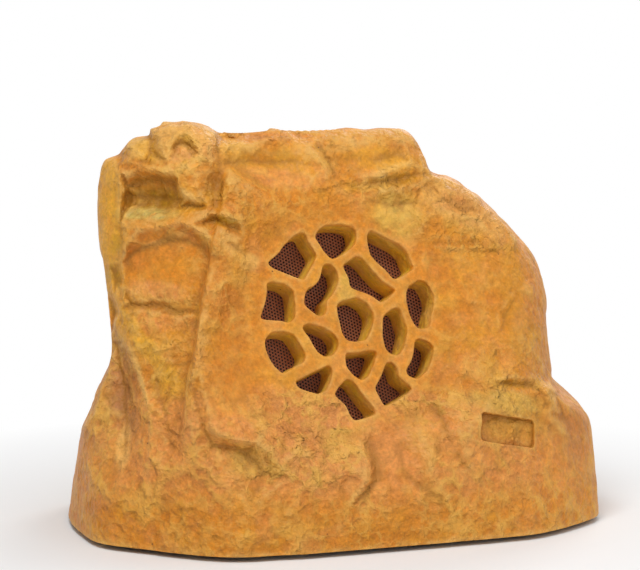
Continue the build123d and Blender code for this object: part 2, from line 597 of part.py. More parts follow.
# Domed dust cap on the front end of the former
CAP_FOOT = -CONE_DEPTH + FORMER_STAND
with BuildPart() as dust_cap:
    with BuildSketch(DRIVER_SIDE):
        with BuildLine():
            SagittaArc((FORMER_RADIUS, CAP_FOOT), (-FORMER_RADIUS, CAP_FOOT), -CAP_RISE)
            SagittaArc((-FORMER_RADIUS + PAPER, CAP_FOOT), (FORMER_RADIUS - PAPER, CAP_FOOT), CAP_RISE - PAPER)
            Line((FORMER_RADIUS, CAP_FOOT), (FORMER_RADIUS - PAPER, CAP_FOOT))
            Line((-FORMER_RADIUS, CAP_FOOT), (-FORMER_RADIUS + PAPER, CAP_FOOT))
        make_face()
        split(bisect_by=Plane.YZ, keep=Keep.TOP)
    revolve(axis=DRIVER_AXIS)
dust_cap.part.label = "dust_cap"
export_step(dust_cap.part, "parts/dust_cap.step")

# Voice coil: former with its winding in the gap
GAP_TOP = -BASKET_DEPTH - BASKET_SHEET
WINDING_LOW = GAP_TOP - POLE_PLATE / 2.0 - WINDING_HEIGHT / 2.0
with BuildPart() as voice_coil:
    with BuildSketch(DRIVER_SIDE):
        with Locations((FORMER_RADIUS - FORMER_WALL, WINDING_LOW)):
            Rectangle(FORMER_WALL, CAP_FOOT - WINDING_LOW, align=(Align.MIN, Align.MIN))
        with Locations((FORMER_RADIUS, WINDING_LOW)):
            Rectangle(WINDING, WINDING_HEIGHT, align=(Align.MIN, Align.MIN))
    revolve(axis=DRIVER_AXIS)
voice_coil.part.label = "voice_coil"
export_step(voice_coil.part, "parts/voice_coil.step")

# Corrugated spider on the basket's ledge
SPIDER_INNER = FORMER_RADIUS + BOND_GAP
SPIDER_WAVE = (LEDGE_INNER - SPIDER_INNER) / (2 * SPIDER_WAVES)
with BuildPart() as spider:
    with BuildSketch(DRIVER_SIDE):
        crest = [(SPIDER_INNER + k * SPIDER_WAVE, -LEDGE_DEPTH + SPIDER_WAVE_HEIGHT * (k % 2))
                 for k in range(2 * SPIDER_WAVES + 1)]
        crest.append((LEDGE_RADIUS - BOND_GAP, -LEDGE_DEPTH))
        under = [(r, z + RUBBER) for r, z in reversed(crest)]
        Polygon(*crest, *under, align=None)
    revolve(axis=DRIVER_AXIS)
spider.part.label = "spider"
export_step(spider.part, "parts/spider.step")

# Magnet system
top_plate = turned_ring(FLOOR_BORE, PLATE_RADIUS, GAP_TOP - POLE_PLATE, GAP_TOP)
top_plate.part.label = "top_plate"
export_step(top_plate.part, "parts/top_plate.step")

MAGNET_LOW = GAP_TOP - POLE_PLATE - MAGNET_HEIGHT
magnet = turned_ring(MAGNET_BORE, MAGNET_RADIUS, MAGNET_LOW, GAP_TOP - POLE_PLATE)
magnet.part.label = "magnet"
export_step(magnet.part, "parts/magnet.step")

with BuildPart() as yoke:
    with BuildSketch(DRIVER.offset(MAGNET_LOW)):
        Circle(PLATE_RADIUS)
    extrude(amount=-POLE_PLATE)
    with BuildSketch(DRIVER.offset(MAGNET_LOW)):
        Circle(FORMER_RADIUS - FORMER_WALL - MAGNET_GAP)
    extrude(amount=GAP_TOP - MAGNET_LOW)
    with BuildSketch(DRIVER.offset(GAP_TOP)):
        Circle(POLE_VENT)
    extrude(amount=MAGNET_LOW - POLE_PLATE - GAP_TOP, mode=Mode.SUBTRACT)
yoke.part.label = "yoke"
export_step(yoke.part, "parts/yoke.step")

# Tag board under the basket's ledge, with two solder tags
TAG_SEAT = DRIVER.offset(-LEDGE_DEPTH - BASKET_SHEET)
TAG_PLACE = -LEDGE_INNER - 2.0 * BASKET_SHEET - TAG_BOARD[1] / 2.0
with BuildPart() as terminal_strip:
    with BuildSketch(TAG_SEAT):
        with Locations((0, TAG_PLACE)):
            Rectangle(TAG_BOARD[0], TAG_BOARD[1])
    extrude(amount=-TAG_BOARD[2])
terminal_strip.part.label = "terminal_strip"
export_step(terminal_strip.part, "parts/terminal_strip.step")

with BuildPart() as solder_tags:
    with BuildSketch(TAG_SEAT.offset(-TAG_BOARD[2])):
        with Locations((-TAG_BOARD[0] / 4.0, TAG_PLACE), (TAG_BOARD[0] / 4.0, TAG_PLACE)):
            Rectangle(TAG[0], TAG[1])
    extrude(amount=-TAG[2])
solder_tags.part.label = "solder_tags"
export_step(solder_tags.part, "parts/solder_tags.step")

# Screws that hold the driver, its gasket and the sheet to the shell
with BuildPart() as driver_screws:
    with BuildSketch(DRIVER.offset(-BASKET_SHEET)):
        with PolarLocations(DRIVER_SCREW_CIRCLE, DRIVER_SCREW_COUNT, DRIVER_SCREW_TURN):
            Circle(SCREW_HEAD_RADIUS)
    extrude(amount=-SCREW_HEAD_HEIGHT)
    with BuildSketch(DRIVER.offset(-BASKET_SHEET)):
        with PolarLocations(DRIVER_SCREW_CIRCLE, DRIVER_SCREW_COUNT, DRIVER_SCREW_TURN):
            Circle(DRIVER_SCREW_RADIUS - FIT_CLEARANCE)
    extrude(amount=BASKET_SHEET + GASKET_THICKNESS + SHEET_THICKNESS + DRIVER_SCREW_GRIP - SCREW_END_ROOM)
driver_screws.part.label = "driver_screws"
export_step(driver_screws.part, "parts/driver_screws.step")

# Base plate in the shell's lower pocket
with BuildPart() as base_plate:
    with BuildSketch(Plane.XY.offset(PLATE_BOTTOM)):
        Polygon(*outline_at(RIM_HEIGHT, POCKET_WALL + PLATE_CLEARANCE), align=None)
        with Locations(*BASE_SCREWS, *FEET):
            Circle(BASE_SCREW_RADIUS + HOLE_CLEARANCE, mode=Mode.SUBTRACT)
        with Locations(*CORE_SCREWS, *BLOCK_SCREWS):
            Circle(BLOCK_SCREW_RADIUS, mode=Mode.SUBTRACT)
    extrude(amount=BASE_THICKNESS)
base_plate.part.label = "base_plate"
export_step(base_plate.part, "parts/base_plate.step")

# Gasket between the base plate and the shell's ledge
with BuildPart() as base_gasket:
    with BuildSketch(Plane.XY.offset(PLATE_TOP)):
        Polygon(*outline_at(RIM_HEIGHT, POCKET_WALL + PLATE_CLEARANCE), align=None)
        Polygon(*outline_at(RIM_HEIGHT, SEAT_WALL), align=None, mode=Mode.SUBTRACT)
        with Locations(*BASE_SCREWS):
            Circle(BASE_SCREW_RADIUS + HOLE_CLEARANCE, mode=Mode.SUBTRACT)
    extrude(amount=BASE_GASKET)
base_gasket.part.label = "base_gasket"
export_step(base_gasket.part, "parts/base_gasket.step")


def screws(places, head_radius, head_height, radius, seat, length, headed_down=True):
    """Group of pan head screws. The heads lie under the seat, or on it when headed_down is false."""
    way = 1.0 if headed_down else -1.0
    with BuildPart() as group:
        with BuildSketch(Plane.XY.offset(seat)):
            with Locations(*places):
                Circle(head_radius)
        extrude(amount=-way * head_height)
        with BuildSketch(Plane.XY.offset(seat)):
            with Locations(*places):
                Circle(radius)
        extrude(amount=way * length)
    return group


base_screws = screws(BASE_SCREWS, SCREW_HEAD_RADIUS, SCREW_HEAD_HEIGHT, BASE_SCREW_RADIUS - FIT_CLEARANCE,
                     PLATE_BOTTOM, BASE_THICKNESS + BASE_GASKET + BASE_SCREW_GRIP - SCREW_END_ROOM)
base_screws.part.label = "base_screws"
export_step(base_screws.part, "parts/base_screws.step")

# Rubber feet, each with a sunk screw and a nut on the base plate
with BuildPart() as rubber_feet:
    with BuildSketch(Plane.XY):
        with Locations(*FEET):
            Circle(FOOT_RADIUS - FOOT_TAPER)
    extrude(amount=PLATE_BOTTOM, taper=-degrees(atan2(FOOT_TAPER, PLATE_BOTTOM)))
    with BuildSketch(Plane.XY):
        with Locations(*FEET):
            Circle(SCREW_HEAD_RADIUS + HOLE_CLEARANCE)
    extrude(amount=FOOT_SCREW_RECESS, mode=Mode.SUBTRACT)
    with BuildSketch(Plane.XY):
        with Locations(*FEET):
            Circle(FOOT_SCREW_RADIUS + HOLE_CLEARANCE)
    extrude(amount=PLATE_BOTTOM, mode=Mode.SUBTRACT)
rubber_feet.part.label = "rubber_feet"
export_step(rubber_feet.part, "parts/rubber_feet.step")

foot_screws = screws(FEET, SCREW_HEAD_RADIUS, SCREW_HEAD_HEIGHT, FOOT_SCREW_RADIUS - FIT_CLEARANCE,
                     FOOT_SCREW_RECESS, PLATE_TOP - FOOT_SCREW_RECESS + NUT_HEIGHT + THREAD_STAND)
foot_screws.part.label = "foot_screws"
export_step(foot_screws.part, "parts/foot_screws.step")

with BuildPart() as foot_nuts:
    with BuildSketch(Plane.XY.offset(PLATE_TOP)):
        with Locations(*FEET):
            RegularPolygon(NUT_RADIUS, HEX_SIDES)
            Circle(FOOT_SCREW_RADIUS, mode=Mode.SUBTRACT)
    extrude(amount=NUT_HEIGHT)
foot_nuts.part.label = "foot_nuts"
export_step(foot_nuts.part, "parts/foot_nuts.step")

# Cable gland, from the land on the shell outwards
FLANGE_TOP = GLAND_WASHER + GLAND_FLANGE
COLLAR_TOP = FLANGE_TOP + GLAND_COLLAR
SEAL_LOW = COLLAR_TOP - SEAL_LENGTH + SEAL_STAND
SEAL_TOP = SEAL_LOW + SEAL_LENGTH
with BuildPart() as gland_body:
    with BuildSketch(GLAND.offset(GLAND_WASHER)):
        RegularPolygon(GLAND_HEX, HEX_SIDES)
    extrude(amount=GLAND_FLANGE)
    with BuildSketch(GLAND.offset(FLANGE_TOP)):
        Circle(GLAND_THREAD - FIT_CLEARANCE)
    extrude(amount=GLAND_COLLAR)
    with BuildSketch(GLAND.offset(GLAND_WASHER)):
        Circle(GLAND_THREAD - FIT_CLEARANCE)
    extrude(amount=-GLAND_WASHER - LAND_THICKNESS - LOCKNUT_HEIGHT - THREAD_STAND)
    with BuildSketch(GLAND.offset(COLLAR_TOP)):
        Circle(SEAL_RADIUS + FIT_CLEARANCE)
    extrude(amount=SEAL_LOW - COLLAR_TOP, mode=Mode.SUBTRACT)
    with BuildSketch(GLAND.offset(COLLAR_TOP)):
        Circle(GLAND_MOUTH)
    extrude(amount=-2.0 * COLLAR_TOP - LAND_THICKNESS - LOCKNUT_HEIGHT, mode=Mode.SUBTRACT)
gland_body.part.label = "gland_body"
export_step(gland_body.part, "parts/gland_body.step")


def gland_ring(inner, outer, low, high):
    """Plain ring about the gland's axis."""
    with BuildPart() as ring:
        with BuildSketch(GLAND.offset(low)):
            Circle(outer)
            Circle(inner, mode=Mode.SUBTRACT)
        extrude(amount=high - low)
    return ring


gland_washer = gland_ring(GLAND_THREAD, WASHER_RADIUS, 0.0, GLAND_WASHER)
gland_washer.part.label = "gland_washer"
export_step(gland_washer.part, "parts/gland_washer.step")

gland_seal = gland_ring(SEAL_BORE, SEAL_RADIUS, SEAL_LOW, SEAL_TOP)
gland_seal.part.label = "gland_seal"
export_step(gland_seal.part, "parts/gland_seal.step")

NUT_LOW = FLANGE_TOP + NUT_GAP
with BuildPart() as gland_nut:
    with BuildSketch(GLAND.offset(NUT_LOW)):
        RegularPolygon(GLAND_HEX, HEX_SIDES)
    extrude(amount=SEAL_TOP - NUT_LOW)
    with BuildSketch(GLAND.offset(SEAL_TOP)):
        Circle(GLAND_HEX * cos(radians(180.0 / HEX_SIDES)))
    extrude(amount=GLAND_NUT_REACH - SEAL_TOP)
    fillet(gland_nut.edges().filter_by(GeomType.CIRCLE).sort_by(GLAND_AXIS)[-1], NUT_DOME)
    with BuildSketch(GLAND.offset(NUT_LOW)):
        Circle(GLAND_THREAD)
    extrude(amount=SEAL_TOP - NUT_LOW, mode=Mode.SUBTRACT)
    with BuildSketch(GLAND.offset(NUT_LOW)):
        Circle(GLAND_MOUTH)
    extrude(amount=GLAND_NUT_REACH, mode=Mode.SUBTRACT)
gland_nut.part.label = "gland_nut"
export_step(gland_nut.part, "parts/gland_nut.step")

with BuildPart() as gland_locknut:
    with BuildSketch(GLAND.offset(-LAND_THICKNESS)):
        RegularPolygon(GLAND_HEX, HEX_SIDES)
        Circle(GLAND_THREAD, mode=Mode.SUBTRACT)
    extrude(amount=-LOCKNUT_HEIGHT)
gland_locknut.part.label = "gland_locknut"
export_step(gland_locknut.part, "parts/gland_locknut.step")

# Line transformer: laminated core, wound coil and strap
CORE = Plane(origin=(CORE_PLACE[0], CORE_PLACE[1], PLATE_TOP), x_dir=(1, 0, 0), z_dir=(0, -1, 0))
WINDOW_HEIGHT = CORE_HEIGHT - 2.0 * LIMB
WINDOW_WIDTH = (CORE_WIDTH - 4.0 * LIMB) / 2.0
WINDOW_PLACE = LIMB + WINDOW_WIDTH / 2.0
with BuildPart() as transformer_core:
    with BuildSketch(CORE):
        with Locations((0, CORE_HEIGHT / 2.0)):
            Rectangle(CORE_WIDTH, CORE_HEIGHT)
        with Locations((-WINDOW_PLACE, CORE_HEIGHT / 2.0), (WINDOW_PLACE, CORE_HEIGHT / 2.0)):
            Rectangle(WINDOW_WIDTH, WINDOW_HEIGHT, mode=Mode.SUBTRACT)
    extrude(amount=CORE_STACK / 2.0, both=True)
transformer_core.part.label = "transformer_core"
export_step(transformer_core.part, "parts/transformer_core.step")

with BuildPart() as transformer_coil:
    with BuildSketch(Plane.XY.offset(PLATE_TOP + LIMB)):
        with Locations(CORE_PLACE):
            Rectangle(2.0 * (LIMB + WINDOW_WIDTH - COIL_GAP), CORE_STACK + 2.0 * (WINDOW_WIDTH - COIL_GAP))
            Rectangle(2.0 * LIMB, CORE_STACK, mode=Mode.SUBTRACT)
    extrude(amount=WINDOW_HEIGHT)
transformer_coil.part.label = "transformer_coil"
export_step(transformer_coil.part, "parts/transformer_coil.step")

STRAP_HALF = CORE_WIDTH / 2.0 + STRAP
with BuildPart() as transformer_frame:
    with BuildSketch(CORE):
        with BuildLine():
            Polyline((-STRAP_HALF - STRAP_FOOT, 0), (-CORE_WIDTH / 2.0, 0), (-CORE_WIDTH / 2.0, CORE_HEIGHT),
                     (CORE_WIDTH / 2.0, CORE_HEIGHT), (CORE_WIDTH / 2.0, 0), (STRAP_HALF + STRAP_FOOT, 0),
                     (STRAP_HALF + STRAP_FOOT, STRAP), (STRAP_HALF, STRAP), (STRAP_HALF, CORE_HEIGHT + STRAP),
                     (-STRAP_HALF, CORE_HEIGHT + STRAP), (-STRAP_HALF, STRAP),
                     (-STRAP_HALF - STRAP_FOOT, STRAP), close=True)
        make_face()
    extrude(amount=STRAP_WIDTH / 2.0, both=True)
    with BuildSketch(Plane.XY.offset(PLATE_TOP)):
        with Locations(*CORE_SCREWS):
            Circle(BLOCK_SCREW_RADIUS + HOLE_CLEARANCE)
    extrude(amount=STRAP, mode=Mode.SUBTRACT)
transformer_frame.part.label = "transformer_frame"
export_step(transformer_frame.part, "parts/transformer_frame.step")

transformer_screws = screws(CORE_SCREWS, SCREW_HEAD_RADIUS, SCREW_HEAD_HEIGHT,
                            BLOCK_SCREW_RADIUS - FIT_CLEARANCE, PLATE_TOP + STRAP, STRAP + BASE_THICKNESS,
                            headed_down=False)
transformer_screws.part.label = "transformer_screws"
export_step(transformer_screws.part, "parts/transformer_screws.step")

# Terminal block with two wire holes, two clamping screws and two fixing screws
BLOCK_TOP = PLATE_TOP + BLOCK_SIZE[2]
BLOCK_WAYS = [(BLOCK_PLACE[0] + side * BLOCK_WAY_SIDE, BLOCK_PLACE[1]) for side in (-1, 1)]
with BuildPart() as terminal_block:
    with BuildSketch(Plane.XY.offset(PLATE_TOP)):
        with Locations(BLOCK_PLACE):
            Rectangle(BLOCK_SIZE[0], BLOCK_SIZE[1])
        with Locations(*BLOCK_SCREWS):
            Circle(BLOCK_SCREW_RADIUS + HOLE_CLEARANCE, mode=Mode.SUBTRACT)
    extrude(amount=BLOCK_SIZE[2])
    with BuildSketch(Plane.XZ.offset(-BLOCK_PLACE[1])):
        with Locations(*[(x, PLATE_TOP + BLOCK_WIRE_HEIGHT) for x, _ in BLOCK_WAYS]):
            Circle(BLOCK_WIRE_RADIUS)
    extrude(amount=BLOCK_SIZE[1], both=True, mode=Mode.SUBTRACT)
    with BuildSketch(Plane.XY.offset(BLOCK_TOP)):
        with Locations(*BLOCK_WAYS):
            Circle(BLOCK_SCREW_RADIUS)
    extrude(amount=BLOCK_WIRE_HEIGHT - BLOCK_SIZE[2], mode=Mode.SUBTRACT)
terminal_block.part.label = "terminal_block"
export_step(terminal_block.part, "parts/terminal_block.step")

with BuildPart() as terminal_screws:
    with BuildSketch(Plane.XY.offset(PLATE_TOP + BLOCK_WIRE_HEIGHT + LEAD_RADIUS)):
        with Locations(*BLOCK_WAYS):
            Circle(BLOCK_SCREW_RADIUS - FIT_CLEARANCE)
    extrude(amount=BLOCK_SIZE[2] - BLOCK_WIRE_HEIGHT - LEAD_RADIUS - CLAMP_SCREW_DEPTH)
terminal_screws.part.label = "terminal_screws"
export_step(terminal_screws.part, "parts/terminal_screws.step")

block_screws = screws(BLOCK_SCREWS, BLOCK_HEAD_RADIUS, SCREW_HEAD_HEIGHT, BLOCK_SCREW_RADIUS - FIT_CLEARANCE,
                      BLOCK_TOP, BLOCK_SIZE[2] + BASE_THICKNESS, headed_down=False)
block_screws.part.label = "block_screws"
export_step(block_screws.part, "parts/block_screws.step")


def lead(points):
    """Round wire along straight runs that are joined by arcs."""
    places = [Vector(*p) for p in points]
    first_run = places[1] - places[0]
    with BuildPart() as wire:
        with BuildLine():
            start = places[0]
            for before, corner, after in zip(places, places[1:], places[2:]):
                back = (before - corner).normalized()
                ahead = (after - corner).normalized()
                half_turn = radians(back.get_angle(ahead)) / 2.0
                setback = LEAD_BEND * cos(half_turn) / sin(half_turn)
                inwards = (back + ahead).normalized()
                middle = corner + inwards * (LEAD_BEND / sin(half_turn) - LEAD_BEND)
                Line(start, corner + back * setback)
                ThreePointArc(corner + back * setback, middle, corner + ahead * setback)
                start = corner + ahead * setback
            Line(start, places[-1])
        with BuildSketch(Plane(origin=places[0], z_dir=first_run)):
            Circle(LEAD_RADIUS)
        sweep()
    return wire.part


# Wires from the solder tags along the base plate to the transformer's coil
TAG_BACK = TAG_SEAT.offset(-TAG_BOARD[2] - TAG[2])
COIL_HALF = CORE_STACK / 2.0 + WINDOW_WIDTH - COIL_GAP
COIL_HEIGHT = PLATE_TOP + LIMB + COIL_ENTRY
FLOOR_RUN = PLATE_TOP + LEAD_RADIUS + LEAD_LIFT
with BuildPart() as driver_leads:
    for side in (-1, 1):
        tag = TAG_BACK.origin + TAG_BACK.x_dir * (side * TAG_BOARD[0] / 4.0) + TAG_BACK.y_dir * TAG_PLACE
        turn_down = tag - TAG_BACK.z_dir * (LEAD_START + side * LEAD_SPACING / 2.0)
        end_x = CORE_PLACE[0] - side * LEAD_SPACING
        coil_y = CORE_PLACE[1] - COIL_HALF
        run_y = turn_down.Y
        add(lead([tag, turn_down, (turn_down.X, run_y, FLOOR_RUN), (end_x, run_y, FLOOR_RUN),
                  (end_x, coil_y - 3.0 * LEAD_BEND, COIL_HEIGHT), (end_x, coil_y, COIL_HEIGHT)]))
driver_leads.part.label = "driver_leads"
export_step(driver_leads.part, "parts/driver_leads.step")

# Wires from the terminal block to the coil's other side
with BuildPart() as inlet_leads:
    for side in (-1, 1):
        way_x = BLOCK_PLACE[0] + side * BLOCK_WAY_SIDE
        way_z = PLATE_TOP + BLOCK_WIRE_HEIGHT
        run_y = BLOCK_PLACE[1] - BLOCK_SIZE[1] / 2.0 - BLOCK_EXIT + side * LEAD_SPACING / 2.0
        end_x = CORE_PLACE[0] + side * LEAD_SPACING
        coil_y = CORE_PLACE[1] + COIL_HALF
        add(lead([(way_x, BLOCK_PLACE[1], way_z), (way_x, run_y, way_z), (end_x, run_y, COIL_HEIGHT),
                  (end_x, coil_y, COIL_HEIGHT)]))
inlet_leads.part.label = "inlet_leads"
export_step(inlet_leads.part, "parts/inlet_leads.step")
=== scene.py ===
import json
import math

import bpy
import numpy as np
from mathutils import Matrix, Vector, noise
from mathutils.geometry import delaunay_2d_cdt

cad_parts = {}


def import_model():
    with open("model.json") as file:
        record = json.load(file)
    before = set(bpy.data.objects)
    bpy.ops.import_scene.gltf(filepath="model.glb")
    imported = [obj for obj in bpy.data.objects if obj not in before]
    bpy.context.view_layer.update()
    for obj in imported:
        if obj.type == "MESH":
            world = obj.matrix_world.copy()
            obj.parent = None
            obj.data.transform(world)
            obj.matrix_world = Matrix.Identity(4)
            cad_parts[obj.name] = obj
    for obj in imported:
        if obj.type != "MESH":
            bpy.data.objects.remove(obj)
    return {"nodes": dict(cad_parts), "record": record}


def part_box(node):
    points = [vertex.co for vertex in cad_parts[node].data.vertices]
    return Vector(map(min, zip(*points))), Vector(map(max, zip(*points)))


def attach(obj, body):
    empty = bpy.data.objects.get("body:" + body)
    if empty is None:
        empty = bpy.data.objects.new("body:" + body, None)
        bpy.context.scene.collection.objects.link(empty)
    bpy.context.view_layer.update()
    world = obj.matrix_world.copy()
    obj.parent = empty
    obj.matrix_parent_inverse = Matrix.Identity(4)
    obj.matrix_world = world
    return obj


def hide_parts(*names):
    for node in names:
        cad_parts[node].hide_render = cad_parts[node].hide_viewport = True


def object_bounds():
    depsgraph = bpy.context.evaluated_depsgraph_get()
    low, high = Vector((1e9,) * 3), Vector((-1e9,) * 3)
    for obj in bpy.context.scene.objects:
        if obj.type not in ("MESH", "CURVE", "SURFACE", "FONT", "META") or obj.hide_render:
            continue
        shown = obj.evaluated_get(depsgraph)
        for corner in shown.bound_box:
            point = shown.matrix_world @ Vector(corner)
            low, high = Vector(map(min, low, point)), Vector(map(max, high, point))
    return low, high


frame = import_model()
nodes = frame["nodes"]
cad_low, cad_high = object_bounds()

# Rock shaped garden speaker. Lengths are in millimetres up to the point where a mesh is made.
MM = 0.001

# Camera at the photograph's viewing angle
VIEW_AZIMUTH = -20.5
VIEW_ELEVATION = 6.0
VIEW_DISTANCE = 1800.0
PICTURE_WIDTH = 640.0
PICTURE_HEIGHT = 570.0
PIXEL = 0.7686               # millimetres of the object in one pixel of the picture
GROUND_COLUMN = 337.0        # pixel of a point on the ground in front of the heart
GROUND_ROW = 518.0
GROUND_AHEAD = 10.0          # how far in front of the heart that point lies
SENSOR = 36.0

# The rock's form: masses of facets around a heart, with each facet's azimuth, elevation and distance.
# They follow the part's source, with the top fitted to the picture.
HEART_HEIGHT = 140.0
RIM_HEIGHT = 4.0
WALL = 7.0
EDGE_SHARPNESS = 30.0
REACH_SCALE = 100.0          # keeps the powers of the facets' shares in range
MASS_BLEND = 10.0            # width over which two masses run into each other
COLUMN_BLEND = 24.0          # and over which the left column runs into the block
GRILLE_TILT = 18.6
GRILLE_REACH = 90.4
GRILLE_ACROSS = -22.3
GRILLE_UP = -8.4
FLAT_RADIUS = 80.0
FLAT_FADE = 26.0
CELL_DEPTH = 23.0
SHEET_THICKNESS = 1.0
SEAT_REACH = GRILLE_REACH - CELL_DEPTH   # distance of the sheet's seat from the heart
BOSS_RADIUS = 96.0
POCKET_WALL = 6.0
SEAT_HEIGHT = 12.0
SEAT_WALL = 17.0
FOOTPRINT = [(0, -2, 140), (-45, 0, 182), (-90, 0, 203), (-135, 0, 207),
             (180, 5, 118), (135, 3, 180), (90, 0, 205), (45, 0, 203)]
FRONT = (0, GRILLE_TILT, GRILLE_REACH)
SIDES = [FRONT, (-45, 5, 138), (-106, 4, 163), (-150, 12, 142),
         (180, 16, 112), (130, 14, 148), (66, 5, 165), (36, 12, 142)]
MASSES = {
    "block": SIDES + [(69.5, 42.7, 155), (69.5, 71, 143), (-110, 47, 205), (0, 90, 158), (180, 55, 168)],
    "top_slab": SIDES + [(69.5, 23.6, 118), (0, 90, 158), (-110, 47, 205), (180, 55, 165)],
    "left_column": [FRONT, (-45, 5, 140), (-104, 3, 184), (-110, -15, 157), (-110, 84, 154),
                    (-160, 10, 110), (180, 16, 108), (20, 20, 80), (100, 20, 60)],
    "left_foot": [(-8, 19, 92), (-110.5, 13.5, 168), (-110.5, 27.5, 150), (-110.5, 4, 208), (-60, 24, 146),
                  (-160, 20, 130), (0, 90, 60), (20, 20, 88), (70, 10, 80)],
    "right_foot": [(4, 17, 94), (69.5, 16, 176), (69.5, 54.7, 66), (69.5, 0, 208), (30, 8, 154),
                   (140, 14, 130), (180, 45, 80), (-110, 10, 100)],
    "front_ledge": [(-12, 8, 113), (-10, 45, 46), (30, 10, 132), (-50, 12, 136), (-110, 20, 100),
                    (90, 20, 120), (180, 45, 80)],
}

